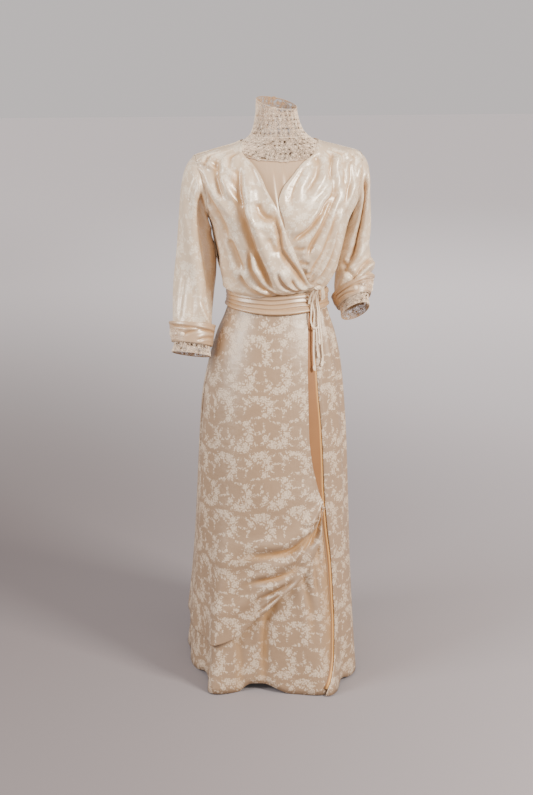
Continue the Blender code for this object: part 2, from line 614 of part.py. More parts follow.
def make_bodice(carrier):
    right = front_place(RIGHT_FRONT, RIGHT_FRONT_FOLDS, -1, 0.018, right_front_out)
    cloth("bodice_right_front", carrier, (22, 18), right)

    left_shape = front_place(LEFT_FRONT, LEFT_FRONT_FOLDS, 1, 0.0, left_front_out)
    flat_shape = front_place(LEFT_FRONT, (), 1, 0.0, left_front_out)

    def left(across, down, depth):
        """The left front's folds are pressed flat where the right front crosses over it."""
        edge_turn = along(LEFT_FRONT, "edge_turn", down)
        turn = mix(edge_turn, side_turn(along(LEFT_FRONT, "side_height", down)), across)
        over = along(RIGHT_FRONT, "edge_turn", down) + 7
        free = (ramp(0, 9, turn - over) * (1 - ramp(0.82, 0.90, down)))[:, None]
        return mix(flat_shape(across, down, depth), left_shape(across, down, depth), free)

    cloth("bodice_left_front", carrier, (18, 16), left)

    def back(across, down, depth):
        height = smooth(np.linspace(0, 1, len(BACK_HEIGHTS)), np.array(BACK_HEIGHTS), down)
        turn = 180 + (side_turn(height) - seam_inset(height)) * (2 * across - 1)
        folds = 0.004 * bump(down, 0.82, 0.07) + fold_height(BACK_FOLDS, across, down)
        return on_figure(turn, height, BODICE_OUT + folds * (1 - ramp(0.84, 0.91, down)) - depth)

    cloth("bodice_back", carrier, (16, 15), back)


def down_skirt(down, low):
    """Heights down a skirt piece: its rows stand closer together where it springs from the waist."""
    return mix(WAIST_HEIGHT - SEAM, low, down**1.4)


def skirt_out(level, waist_level, height):
    """Layers lie close together at the waist seam and part below it."""
    return mix(level, waist_level, ramp(WAIST_HEIGHT - 0.05, WAIST_HEIGHT - 0.006, height))


def make_underskirt(carrier):
    """The floor-length skirt below the draped one: it shows at the front, under the caught folds."""
    for name, start, columns in (("underskirt_front", -90.0, 22), ("underskirt_back", 90.0, 20)):

        def place(across, down, depth, start=start):
            turn = start + 0.15 + 179.7 * across
            height = down_skirt(down, hem(turn))
            out = skirt_out(UNDERSKIRT_OUT, -0.0015, height)
            return on_skirt(turn, height, out - depth)

        cloth(name, carrier, (columns, 7), place)


def left_edge(name, height):
    return read(LEFT_EDGES, "height", name, height)


def make_placket(carrier):
    """The plain strip that shows between the overskirt's edge and the left panel's."""

    def place(across, down, depth):
        height = down_skirt(down, 0.012)
        turn = mix(left_edge("placket", height), left_edge("panel", height) + 5, across)
        return on_skirt(turn, height, skirt_out(PLACKET_OUT, 0.0002, height) - depth)

    cloth("placket", carrier, (4, 12), place, 0.0012, PLACKET_COLOUR, 0.5)


def make_overskirt(carrier):
    def front(across, down, depth):
        """Rows sweep down from the knot; the swag folds follow them."""
        spread = 1 - (1 - across) ** 1.5
        caught = np.clip(down / CAUGHT_SHARE, 0, 1)
        edge_height = np.where(
            down < CAUGHT_SHARE,
            mix(WAIST_HEIGHT - SEAM, SWEEP[-1].fold_height, caught),
            mix(SWEEP[-1].fold_height, SWEEP[-1].hem_height, (down - CAUGHT_SHARE) / (1 - CAUGHT_SHARE)),
        )
        start = RIGHT_SEAM_TURN + 0.15
        turn = mix(start, left_edge("overskirt", edge_height), spread)
        fold_line = read(SWEEP, "turn", "fold_height", turn)
        fold_line = mix(fold_line, SWEEP[-1].fold_height, ramp(0.985, 1, spread))
        low = mix(read(SWEEP, "turn", "hem_height", turn), SWEEP[-1].hem_height, ramp(0.985, 1, spread))
        below = np.clip((down - CAUGHT_SHARE) / (1 - CAUGHT_SHARE), 0, 1)
        height = np.where(
            down < CAUGHT_SHARE,
            mix(WAIST_HEIGHT - SEAM, fold_line, caught),
            mix(fold_line, low, below),
        )
        swag = fold_height(SWAG_FOLDS, down, across) * (1 - 0.55 * ramp(0.93, 1, across))
        out = skirt_out(0, 0.0022, height) + swag + 0.002 * ramp(0.2, 0.5, down)
        return on_skirt(turn, height, out - depth)

    cloth("overskirt_front", carrier, (20, 18), front)

    def back(across, down, depth):
        turn = mix(LEFT_SEAM_TURN + 0.3, 360 + RIGHT_SEAM_TURN - 0.15, across)
        height = down_skirt(down, mix(BACK_HEM_LEFT, BACK_HEM_RIGHT, across))
        folds = fold_height(BACK_SKIRT_FOLDS, across, down) * ramp(0.05, 0.12, down)
        out = skirt_out(0, 0.0022, height) + folds + 0.002 * ramp(0.2, 0.5, down)
        return on_skirt(turn, height, out - depth)

    cloth("overskirt_back", carrier, (20, 6), back)

    def left_panel(across, down, depth):
        """From the knotted sash to the floor; its front edge is turned under in a soft roll."""
        low = hem(mix(24.0, LEFT_SEAM_TURN, across))
        height = down_skirt(down, low)
        turn = mix(left_edge("panel", height), LEFT_SEAM_TURN - 0.3, across)
        folds = fold_height(PANEL_FOLDS, across, down) * ramp(0.04, 0.12, down)
        out = skirt_out(0, 0.0022, height) + folds + 0.002 * ramp(0.2, 0.5, down)
        return on_skirt(turn, height, out - depth)

    cloth("left_panel", carrier, (9, 12), left_panel)


def sash_shape(turn, down):
    """The sash's height and outer distance: soft level pleats, each lapping the next below."""
    dip = SASH_DIP * bump(turn, -5, 50)
    height = mix(SASH_TOP - 0.35 * dip, SASH_LOW - dip, down)
    phase = (down * SASH_PLEATS) % 1
    lap = np.where(down > 0.999, 1.0, phase)
    return height, SASH_IN + SASH_WALL + SASH_PLEAT_OUT * lap ** 0.7


def make_sash(carrier):
    def place(across, down, depth):
        turn = -180 + 0.15 + 359.7 * across
        height, out = sash_shape(turn, down)
        return on_figure(turn, height, np.where(depth > 0, SASH_IN, out))

    cloth("sash", carrier, (40, 4), place, SASH_WALL)


def loft(name, carrier, rings, colour=SATIN_COLOUR, roughness=0.4):
    """A closed solid through rings of points."""
    sides, last = len(rings[0]), len(rings) - 1
    bm = bmesh.new()
    bmesh.ops.create_grid(bm, x_segments=sides, y_segments=last, size=0.5)
    for vertex in bm.verts:
        across = round((vertex.co.x + 0.5) * sides)
        vertex.co = rings[round((vertex.co.y + 0.5) * last)][across % sides]
    bmesh.ops.remove_doubles(bm, verts=bm.verts, dist=1e-6)
    bmesh.ops.holes_fill(bm, edges=bm.edges, sides=0)
    return add_object(name, bm, colour, roughness, carrier)


def ribbon_rings(points, stations):
    """Flat oval rings along a ribbon, with the flat side against the gown."""
    share = np.linspace(0, 1, stations)
    turn, height, out, half_width = (along(points, name, share) for name in Point._fields)
    centre = on_skirt(turn, height, out)
    run = np.gradient(centre, axis=0)
    run /= np.linalg.norm(run, axis=1, keepdims=True)
    square = outward(turn, height)
    square -= run * (square * run).sum(1, keepdims=True)
    square /= np.linalg.norm(square, axis=1, keepdims=True)
    wide = np.cross(run, square)
    angle = np.linspace(0, 2 * np.pi, RIBBON_SIDES, endpoint=False)
    thick = np.maximum(RIBBON_THICK / 2, 0.75 * (half_width - 0.0035))
    return [
        c + w * hw * np.cos(angle)[:, None] + s * t * np.sin(angle)[:, None]
        for c, w, s, hw, t in zip(centre, wide, square, half_width, thick)
    ]


def make_tie(carrier):
    for name, points in RIBBONS.items():
        loft(name, carrier, ribbon_rings(points, 2 * len(points) - 1))
    bm = bmesh.new()
    bmesh.ops.create_uvsphere(bm, u_segments=10, v_segments=6, radius=1)
    flat = np.array([v.co for v in bm.verts])
    turn = KNOT.turn + np.degrees(flat[:, 0] * KNOT.half_width * 0.85 / 0.1)
    height = KNOT.height + flat[:, 2] * KNOT.half_width * 0.85
    points = on_figure(turn, height, KNOT.out + 0.0055 * (1 + flat[:, 1]))
    for vertex, point in zip(bm.verts, points):
        vertex.co = point
    add_object("tie_knot", bm, SATIN_COLOUR, 0.4, carrier)


def arm_ring(arm, side, across, down, out):
    """A point round an arm: across 0 is its outer side, 0.25 its front and 0.5 its inner side."""
    outer_x, outer_z, inner_x, inner_z, back, deep, pitch = (
        along(arm, name, down) for name in Ring._fields
    )
    angle = 2 * np.pi * across
    outer = np.stack([side * outer_x, back, outer_z], -1)
    inner = np.stack([side * inner_x, back, inner_z], -1)
    middle, half = (outer + inner) / 2, (outer - inner) / 2
    wide = np.linalg.norm(half, axis=-1, keepdims=True)
    tilt = np.radians(pitch)
    ahead = np.stack([0 * tilt, -np.cos(tilt), np.sin(tilt)], -1)
    deep, c, s = deep[..., None], np.cos(angle)[..., None], np.sin(angle)[..., None]
    normal = half / wide * c * deep + ahead * s * wide
    normal /= np.linalg.norm(normal, axis=-1, keepdims=True)
    return middle + half * c + ahead * deep * s + normal * np.asarray(out)[..., None]


def armhole_ring(arm, side, across, depth):
    """The line just outside the bodice's armhole edge, which the sleeve's head is sewn to."""
    angle = 2 * np.pi * across
    top, low = arm[0].outer_height, arm[0].inner_height
    height = (top + low) / 2 + (top - low) / 2 * np.cos(angle)
    turn = np.clip(side_turn(height), 0, 90)
    turn = side * np.where(np.sin(angle) >= 0, turn, 180 - turn)
    line = on_bare(turn, height, BODICE_OUT)
    line[:, 0] += side * 2 * SEAM
    inward = np.stack([0 * height, -line[:, 1], (top + low) / 2 - height], -1)
    inward /= np.maximum(np.linalg.norm(inward, axis=-1, keepdims=True), 1e-9)
    return line + inward * np.asarray(depth)[..., None]


def make_sleeves(carrier):
    arms = (
        ("right", -1, RIGHT_ARM, RIGHT_SLEEVE_FOLDS, RIGHT_TRIM),
        ("left", 1, LEFT_ARM, LEFT_SLEEVE_FOLDS, LEFT_TRIM),
    )
    for word, side, arm, folds, trim in arms:
        gap = 0.0012

        def round_arm(across, gap=gap):
            """The seam runs down the inner side of the arm."""
            return 0.5 + gap + (1 - 2 * gap) * across

        def sleeve(across, down, depth, side=side, arm=arm, folds=folds):
            turn = round_arm(across)
            share = SLEEVE_END * down
            wave = fold_height(folds, turn % 1, share) + fold_height(folds, turn % 1 + 1, share)
            wave = wave * ramp(0, 0.12, down) * (1 - ramp(0.80, 0.88, down))
            shape = lean(arm_ring(arm, side, turn, share, wave + BODICE_OUT * 0 - depth))
            sewn = lean(armhole_ring(arm, side, turn, depth))
            return mix(sewn, shape, ramp(0, 0.10, down)[:, None])

        cloth(f"sleeve_{word}", carrier, (18, 14), sleeve)

        def cuff(across, down, depth, side=side, arm=arm):
            turn = round_arm(across)
            return cuff_point(arm, side, turn, down, -depth)

        cloth(f"cuff_{word}", carrier, (18, 2), cuff)

        def lace(across, down, depth, side=side, arm=arm):
            turn = round_arm(across)
            share = mix(LACE_TOP, 1.0, down)
            out = mix(-SATIN - CUFF_CLEAR, 0.001, ramp(0.45, 1, down))
            return lean(arm_ring(arm, side, turn, share, out - depth))

        grid = (18, 3)
        gaps = [(i, 1) for i in range(1, 17, 2)]
        cloth(f"lace_cuff_{word}", carrier, grid, lace, LACE, LACE_COLOUR, 0.7, gaps)
        make_trim(word, side, arm, trim, carrier)


def cuff_point(arm, side, turn, down, out):
    """A point over the turned-back cuff, at a share down it."""
    share = mix(CUFF_TOP, SLEEVE_END - 0.004, down)
    flare = mix(CUFF_FLARE, SATIN + CUFF_CLEAR, down) + out
    return lean(arm_ring(arm, side, turn, share, flare))


def make_trim(word, side, arm, trim, carrier):
    """A crochet strip of rosettes on the cuff, and a covered button at each end of it."""

    def strip(across, down, depth):
        turn = trim.across + trim.half_across * (2 * across - 1)
        share = mix(trim.top, trim.low, down)
        middle = np.round(across * ROSETTES - 0.5) + 0.5
        away = np.hypot((across * ROSETTES - middle) * 2, (down - 0.5) * 2)
        raised = ROSETTE_OUT * bump(away, 0.55, 0.35)
        out = np.where(depth > 0, CUFF_CLEAR, CUFF_CLEAR + TRIM_THICK + raised)
        return cuff_point(arm, side, turn, share, out)

    cloth(f"cuff_trim_{word}", carrier, (12, 4), strip, TRIM_THICK, LACE_COLOUR, 0.7)
    for number, end in enumerate((-1, 1), 1):
        turn = trim.across + end * (trim.half_across + 0.028)
        middle, round_it, down_it = cuff_point(
            arm, side, np.array([turn, turn + 0.01, turn]), np.array([0.62, 0.62, 0.72]), 0.0
        )
        square = side * np.cross(round_it - middle, down_it - middle)
        square /= np.linalg.norm(square)
        make_button(f"cuff_button_{word}_{number}", middle, square, carrier)


def make_button(name, middle, square, carrier):
    """A round crochet-covered button: a low dome on a flat back."""
    side = np.cross(square, (0, 0, 1))
    side /= np.linalg.norm(side)
    up = np.cross(side, square)
    angle = np.linspace(0, 2 * np.pi, 10, endpoint=False)[:, None]
    circle = side * np.cos(angle) + up * np.sin(angle)
    profile = ((0.80, 0.0), (1.0, 0.16), (0.94, 0.48), (0.62, 0.74))
    rings = [middle + square * (2 * SEAM + BUTTON_RADIUS * out) + circle * BUTTON_RADIUS * wide
             for wide, out in profile]
    loft(name, carrier, rings, LACE_COLOUR, 0.7)


def main():
    for old in list(bpy.data.objects):
        bpy.data.objects.remove(old)
    carrier = bpy.data.objects.new("hem_level", None)
    carrier.location = (0, 0, -CARRY_HEIGHT)
    bpy.context.scene.collection.objects.link(carrier)
    make_lace(carrier)
    make_chemisette(carrier)
    make_bodice(carrier)
    make_underskirt(carrier)
    make_placket(carrier)
    make_overskirt(carrier)
    make_sash(carrier)
    make_tie(carrier)
    make_sleeves(carrier)


main()
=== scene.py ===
"""Looks of the silk tea gown: figured satin, crochet lace, pleated sash, tie and caught skirt.

A place on the gown is a turn round the figure, in degrees from the centre front towards the
wearer's left, and a height above the hem. Layers lie at their own distance out from the figure.
"""

import functools
import math
from collections import namedtuple

import bmesh
import bpy
import numpy as np
from mathutils import Matrix, Vector


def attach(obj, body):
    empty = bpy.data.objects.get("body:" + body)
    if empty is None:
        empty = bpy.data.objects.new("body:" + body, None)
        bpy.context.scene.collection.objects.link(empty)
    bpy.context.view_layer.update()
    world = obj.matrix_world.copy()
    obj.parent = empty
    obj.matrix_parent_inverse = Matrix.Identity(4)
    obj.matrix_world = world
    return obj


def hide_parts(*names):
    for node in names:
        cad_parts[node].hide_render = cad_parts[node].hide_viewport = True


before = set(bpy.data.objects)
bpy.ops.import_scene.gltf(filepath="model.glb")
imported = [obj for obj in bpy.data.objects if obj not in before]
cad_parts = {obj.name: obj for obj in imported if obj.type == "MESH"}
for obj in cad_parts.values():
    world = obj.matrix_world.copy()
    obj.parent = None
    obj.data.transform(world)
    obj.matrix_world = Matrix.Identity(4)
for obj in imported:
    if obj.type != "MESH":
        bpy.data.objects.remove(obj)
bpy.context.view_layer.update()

# The columns that the tables below give in millimetres. The others are turns in degrees, or shares.
LENGTHS = set(
    "height centre half_width front back reach top edge_height side_height out fold_height hem_height "
    "outer_x outer_height inner_x inner_height half_depth".split()
)


def table(kind, *rows):
    """Rows of a table, with their lengths turned to metres."""
    return tuple(
        kind(*(value / 1000 if name in LENGTHS else value for name, value in zip(kind._fields, row)))
        for row in rows
    )


# A crease's path is a line of (turn, height) points. The cloth falls into it by depth, over left_width
# and right_width on the two sides of its travel, and rolls up beside it by left and right at the
# distance roll. A narrow width beside a high roll is a fold that laps over the crease.
Crease = namedtuple("Crease", "path depth left_width right_width left right roll")


def crease_table(parts, *rows):
    """Creases, listed one by one. A row is a path, then the sizes in millimetres.

    The path lists turn, height, turn, height and so on, with heights in so many parts of 1.
    """
    return tuple(
        Crease(tuple(zip(path[::2], (height / parts for height in path[1::2]))), *(v / 1000 for v in sizes))
        for path, *sizes in rows
    )


# Sizes in metres, as the solids have them. Heights are above the lowest point of the hem.
CARRY_HEIGHT = 1.31  # where the wearer's shoulders carry the gown: the frame's origin
WAIST_HEIGHT = 0.963
SEAM = 0.0003  # half the gap between two pieces at a seam
SHOULDER_LEAN = 0.015  # rise of the wearer's left shoulder over the right, per metre across
SQUARENESS = 2.2  # exponent of the cross-sections; 2 is an ellipse

# How far each layer's outer face lies from the figure, and its cloth's thickness.
UNDERSKIRT_OUT = -0.0102
PLACKET_OUT = -0.0034
YOKE_OUT = 0.0016
CHEMISETTE_OUT = -0.0015
BODICE_OUT = 0.0046
WRAP_OUT = 0.0085  # the right front, where it crosses over the left one
SASH_OUT = 0.0086
SATIN_WALL = 0.0012
THIN_WALL = 0.0008
COVERED_DEPTH = 0.0050  # how much deeper a layer lies where another one covers it

Section = namedtuple("Section", "height centre half_width front back")
FIGURE = table(Section,
    (0, -6, 216, 225, 280), (100, -6, 207, 212, 262), (300, -8, 194, 188, 225), (500, -11, 185, 168, 195),
    (700, -10, 175, 150, 170), (800, -6, 162, 135, 152), (870, -3, 145, 119, 132),
    (920, -1, 126, 104, 110), (960, 0, 113.5, 92, 90), (1000, 1, 120, 100, 90), (1040, 2, 136, 120, 95),
    (1100, 3, 151, 134, 103), (1150, 4, 163, 136, 108), (1190, 4, 184, 128, 108), (1220, 3, 199, 118, 106),
    (1260, 2, 208.5, 101, 99), (1285, 1, 209.5, 88, 91), (1300, 0, 202, 80, 84), (1315, 1, 155, 72, 75),
    (1330, 2, 100, 64, 67), (1347, 2, 70, 60, 61), (1362, 0, 59, 56, 57), (1385, -2, 51, 51, 52),
    (1410, -3, 47, 47.5, 49), (1440, -3, 46, 46.5, 48),
)

Flute = namedtuple("Flute", "turn width reach top")
FLUTES = table(Flute,
    (-94, 12, 10, 450), (-72, 8, -6, 400), (-47, 10, 50, 500), (-20, 13, -20, 550), (19, 13, 36, 550),
    (40, 9, -8, 450), (82, 14, -26, 450), (126, 15, 68, 750), (152, 11, -12, 750), (178, 13, 30, 850),
    (208, 11, -14, 750), (238, 13, 30, 800),
)
HEM_LIFT = 0.021  # how far the hem rises between two flutes

# The gown's radius about each set of creases, which makes a turn a distance.
CHEST_RADIUS = 0.130
HIP_RADIUS = 0.150
KNEE_RADIUS = 0.190
HEM_RADIUS = 0.230
ARM_RADIUS = 0.052
DEEP = 0.0048  # a crease this deep gets the full painted shade in the cloth's colour

Armhole = namedtuple("Armhole", "height reach")
ARMHOLE = table(Armhole,
    (1165, 169.5), (1200, 176), (1250, 188), (1305, 198.5),
)

FrontRow = namedtuple("FrontRow", "edge_turn edge_height side_height")
RIGHT_FRONT = table(FrontRow,
    (-90, 1335, 1302.5), (-76, 1333.5, 1297.5), (-60, 1330, 1292), (-40, 1318, 1281), (-22, 1298, 1264),
    (-15, 1262, 1235), (-12, 1226, 1208), (-8, 1190, 1179), (-5, 1158, 1150), (-1, 1122, 1112),
    (4, 1088, 1078), (9, 1058, 1048), (17, 1028, 1018), (24.5, 1013, 999), (31, 1002, 989),
)
LEFT_FRONT = table(FrontRow,
    (90, 1335, 1302.5), (75, 1333.5, 1297.5), (57, 1330, 1292), (34, 1320, 1281), (13, 1295, 1264),
    (3, 1260, 1235), (-3, 1228, 1208), (-6, 1196, 1179), (-4, 1162, 1150), (-3, 1125, 1112),
    (-7, 1090, 1078), (-11, 1050, 1040), (-14, 1010, 1005), (-16, 982, 982), (-17, 963.3, 963.3),
)

# Broad folds, as lines across a piece's grid: the share across it at five shares of its length, the
# half-width as a share across, the height out, and where along the piece it fades in and out.
Fold = namedtuple("Fold", "at_0 at_25 at_50 at_75 at_100 width out start end")
RIGHT_FRONT_FOLDS = table(Fold,
    (0.18, 0.25, 0.2, 0.13, 0.11, 0.05, 3, 0, 1), (0.3, 0.39, 0.29, 0.19, 0.17, 0.045, 5, 0, 1),
    (0.48, 0.56, 0.48, 0.38, 0.35, 0.05, 4.5, 0, 1), (0.74, 0.76, 0.72, 0.66, 0.6, 0.055, 4, 0, 0.95),
    (0.88, 0.9, 0.88, 0.84, 0.8, 0.045, 3, 0, 0.9),
)
LEFT_FRONT_FOLDS = table(Fold,
    (0.24, 0.24, 0.2, 0.1, 0.05, 0.05, 4, 0, 0.62), (0.36, 0.4, 0.36, 0.14, 0.05, 0.04, 4, 0, 0.8),
    (0.56, 0.6, 0.56, 0.33, 0.24, 0.045, 4.5, 0, 1), (0.78, 0.8, 0.76, 0.6, 0.48, 0.045, 5, 0, 1),
    (0.91, 0.92, 0.9, 0.82, 0.7, 0.04, 3, 0, 1),
)
BACK_FOLDS = table(Fold,
    (0.2, 0.19, 0.22, 0.28, 0.32, 0.035, 3.5, 0.3, 1), (0.34, 0.33, 0.35, 0.38, 0.4, 0.03, 4, 0.35, 1),
    (0.5, 0.5, 0.5, 0.5, 0.5, 0.025, 3.5, 0.45, 1), (0.66, 0.67, 0.65, 0.62, 0.6, 0.03, 4, 0.35, 1),
    (0.8, 0.81, 0.78, 0.72, 0.68, 0.035, 3.5, 0.3, 1),
)
BACK_HEIGHTS = (1.3345, 1.326, 1.314, 1.3025, 1.2975, 1.284, 1.258, 1.225, 1.196, 1.176, 1.150,
                1.108, 1.060, 1.015, 0.984, 0.9633)

Sweep = namedtuple("Sweep", "turn fold_height hem_height")
SWEEP = table(Sweep,
    (-90, 338, 106), (-70, 334, 106), (-52, 333, 113), (-40, 335, 130), (-30, 342, 158), (-22, 349, 186),
    (-12, 356, 216), (-4, 366, 246), (4, 382, 276), (10, 399, 303), (16, 420, 340), (22, 445, 388),
    (26, 464, 426), (28, 474, 444), (29, 480, 458),
)
CAUGHT_SHARE = 0.60  # share of the overskirt's length at the upper line of the caught folds
SWAG_FOLDS = table(Fold,
    (0.45, 0.45, 0.47, 0.5, 0.53, 0.05, 4.5, 0.4, 1), (0.6, 0.6, 0.6, 0.6, 0.6, 0.05, 6, 0.05, 1),
    (0.73, 0.73, 0.73, 0.73, 0.72, 0.04, 5, 0.25, 1), (0.85, 0.85, 0.85, 0.85, 0.84, 0.04, 5, 0.1, 1),
    (0.97, 0.97, 0.97, 0.97, 0.96, 0.03, 3, 0.3, 1),
)

Edge = namedtuple("Edge", "height overskirt panel placket")
LEFT_EDGES = table(Edge,
    (0, 27, 17.5, 15.5), (40, 29, 23.5, 21.5), (100, 29, 30, 28), (190, 29, 34, 31.5), (300, 29, 34.5, 31),
    (410, 29, 32, 28.5), (450, 29, 31.5, 26), (500, 24.5, 31, 17), (570, 20, 31, 13), (640, 18, 30.5, 12),
    (780, 18.3, 28, 13), (830, 19.3, 28, 14), (900, 23.5, 31, 18), (963, 33, 45, 22),
)
LEFT_SEAM_TURN = 92.0
RIGHT_SEAM_TURN = -90.0
SIDE_GAP = 0.05  # from a side seam to a piece, in degrees
BACK_HEM_LEFT = 0.080
BACK_HEM_RIGHT = 0.106
PANEL_FOLDS = table(Fold,
    (0.03, 0.03, 0.03, 0.03, 0.03, 0.05, 3.5, 0, 1), (0.28, 0.3, 0.32, 0.34, 0.36, 0.07, 4, 0, 0.75),
    (0.55, 0.56, 0.58, 0.6, 0.62, 0.07, 4, 0, 0.75),
)
BACK_SKIRT_FOLDS = table(Fold,
    (0.42, 0.4, 0.38, 0.36, 0.35, 0.03, 5, 0, 0.7), (0.5, 0.5, 0.5, 0.5, 0.5, 0.03, 6, 0, 0.8),
    (0.58, 0.6, 0.62, 0.64, 0.65, 0.03, 5, 0, 0.7),
)

Ring = namedtuple("Ring", "outer_x outer_height inner_x inner_height back half_depth pitch")
RIGHT_ARM = table(Ring,
    (199, 1302.5, 166, 1170, 0, 58, 0), (213, 1292, 173, 1164, 1, 60, 0),
    (226, 1260, 174.5, 1156, 3, 59, 0), (232, 1215, 172.5, 1143, 6, 57, 0),
    (235, 1160, 167, 1118, 10, 54, 0), (240, 1090, 154, 1075, 14, 51, 3),
    (247, 1030, 151, 1025, 14, 49, 6), (253, 975, 157, 970, 8, 47, 10), (257, 925, 164, 917, -4, 46, 13),
    (260, 890, 167, 876, -16, 45, 15), (262, 858, 169, 842, -26, 45, 16),
    (265, 836, 172, 820, -33, 46, 17),
)
LEFT_ARM = table(Ring,
    (199, 1302.5, 175, 1170, 0, 58, 0), (213, 1292, 182, 1164, 1, 60, 0),
    (223, 1260, 183.5, 1156, 3, 59, 0), (226, 1218, 181.5, 1143, 8, 57, 0),
    (227, 1170, 177, 1122, 14, 54, 0), (229, 1120, 166, 1088, 18, 52, 4),
    (232, 1080, 158, 1050, 17, 50, 10), (235, 1045, 150, 1013, 10, 48, 20),
    (234, 1013, 144.5, 978, -4, 46, 28), (229, 985, 143.5, 952, -22, 43, 34),
    (222, 959, 146, 936, -42, 40, 38), (217, 935, 150, 919, -60, 39, 40),
)
# Shares of the arm's length, counted from the shoulder.
SLEEVE_END = 0.905
CUFF_TOP = 0.775
LACE_TOP = 0.870
CUFF_FLARE = 0.0090
CUFF_CLEAR = 0.0008  # from a cuff to the trim on it
SLEEVE_AREAS = {"right": 0.120, "left": 0.092}
RIGHT_SLEEVE_FOLDS = table(Fold,
    (0.06, 0.1, 0.2, 0.32, 0.44, 0.045, 7, 0.08, 1), (0.3, 0.33, 0.36, 0.42, 0.48, 0.05, -3, 0.1, 0.95),
    (0.95, 0.97, 1, 1.02, 1.04, 0.04, 3, 0.1, 0.8), (0.7, 0.72, 0.74, 0.76, 0.78, 0.05, 4, 0.15, 1),
)
LEFT_SLEEVE_FOLDS = table(Fold,
    (0, 0.02, 0.14, 0.38, 0.47, 0.05, 7.5, 0.15, 0.95),
    (0.2, 0.24, 0.32, 0.46, 0.49, 0.05, -3, 0.15, 0.85), (0.1, 0.1, 0.1, 0.12, 0.06, 0.05, 6, 0.55, 1),
    (0.7, 0.72, 0.74, 0.76, 0.78, 0.05, 4, 0.15, 1),
)

YokeEdge = namedtuple("YokeEdge", "turn height")
YOKE_EDGE = table(YokeEdge,
    (0, 1292), (12, 1296), (28, 1307), (45, 1318), (65, 1326), (90, 1331),
)
COLLAR_BASE = 1.3470
COLLAR_TOP = 1.4255
COLLAR_TILT_BACK = 0.0115
COLLAR_TILT_SIDE = 0.0085
YOKE_BACK_HEIGHT = 1.326
LACE_OUT = YOKE_OUT - 0.0006  # where the flat side of the collar's and yoke's threads lies
CHEMISETTE_LOW = 1.095
CHEMISETTE_TURN = 46.0
TUCK_TURNS = (-7.0, -1.5, 4.0, 9.5)

SASH_TOP = 0.9845
SASH_LOW = 0.9400
SASH_DIP = 0.0110
SASH_PLEATS = 4
SASH_PLEAT_OUT = 0.0046
SASH_WAVER = ((0.45, 2.3, 40), (0.40, 5.1, 0), (0.22, 9, 0))  # reach, waves round, and start in degrees

# The tie: a knot over the sash, two loops and four ends, each a narrow folded ribbon that follows
# the gown. A ribbon's points give the turn, height, distance out, and half-width there.
Point = namedtuple("Point", "turn height out half_width")
RIBBONS = {
    "tie_loop_wide": table(Point,
        (36.6, 1008.5, 25, 3.5), (38.4, 999, 25.5, 4.8), (41.2, 985, 25.5, 6), (44, 972, 23, 7.2),
        (45, 964, 22, 6.8),
    ),
    "tie_loop_short": table(Point,
        (27.4, 999, 26.8, 2.4), (25.8, 982, 21.5, 2.8), (26.4, 968, 18, 3.2), (26.4, 957, 16.5, 3.6),
        (26.2, 952, 16, 2.8),
    ),
    "tie_loop_long": table(Point,
        (30, 997.2, 26.8, 2), (29.6, 966, 21, 2.2), (28.6, 944, 17, 2.2), (27, 928, 15, 2.2),
        (25.6, 911, 11.5, 2.2), (26, 899, 12.5, 2.2), (29, 894, 15, 2.2), (32.2, 897, 15.5, 2.2),
        (33.6, 913, 16, 2.2), (35.4, 938, 19, 2.2), (34, 976, 23.5, 2),
    ),
    "tie_end_upper": table(Point,
        (35, 994.5, 18.5, 2), (37.6, 938, 13.5, 2.1), (35.8, 912, 9.2, 2.1), (33.9, 890, 8.2, 2.1),
        (32.8, 872, 8, 2.1), (32.3, 863, 8.2, 3.8), (32, 856, 8.2, 2.6),
    ),
    "tie_end_middle": table(Point,
        (32.4, 994.5, 18.5, 2), (34.9, 938, 13.5, 2.1), (33, 912, 9.2, 2.1), (31, 890, 8.2, 2.1),
        (29.5, 864, 7.8, 2.1), (29, 844, 7.8, 2.1), (29.2, 833, 8, 4), (29.1, 826, 8, 2.6),
    ),
    "tie_end_outer": table(Point,
        (37.8, 994.5, 18.5, 2), (40.6, 938, 13.5, 2.1), (38.9, 918, 10.2, 2.1), (37.2, 896, 8.8, 2.1),
        (35.4, 870, 8.4, 2.1), (34.4, 845, 8.2, 2.1), (33.8, 827, 8.2, 2.4), (32.2, 811, 8.2, 4.2),
        (31.2, 805, 8.2, 2.8),
    ),
    "tie_end_long": table(Point,
        (29.8, 994.5, 18.5, 2), (32, 938, 13.5, 2.1), (29.6, 908, 9.5, 2.2), (27, 882, 8.2, 2.2),
        (24.8, 846, 7.4, 2.2), (24, 815, 7.4, 2.2), (24, 804, 7.8, 4.4), (24.2, 796.5, 7.8, 2.8),
    ),
}
KNOT = Point(30.5, 1.0065, 0.0215, 0.0100)
RIBBON_THICK = 0.0024
END_SIZE = (0.19, 0.010)
LOOP_SIZES = {
    "tie_loop_wide": (0.06, 0.014),
    "tie_loop_short": (0.06, 0.010),
    "tie_loop_long": (0.26, 0.010),
}

# Crochet trimmings on the turned-back cuffs: shares round and down the cuff.
Trim = namedtuple("Trim", "across half_across top low")
RIGHT_TRIM = Trim(0.045, 0.085, 0.36, 0.88)
LEFT_TRIM = Trim(0.125, 0.110, 0.22, 0.90)
ROSETTES = 3
# The small shapes round a rosette: shares of its own width aside, and of the trim's depth.
TRIM_CORNERS = ((-0.33, 0.14), (0, 0.06), (0.33, 0.14), (-0.33, 0.86), (0, 0.94), (0.33, 0.86))
BUTTON_RADIUS = 0.0055

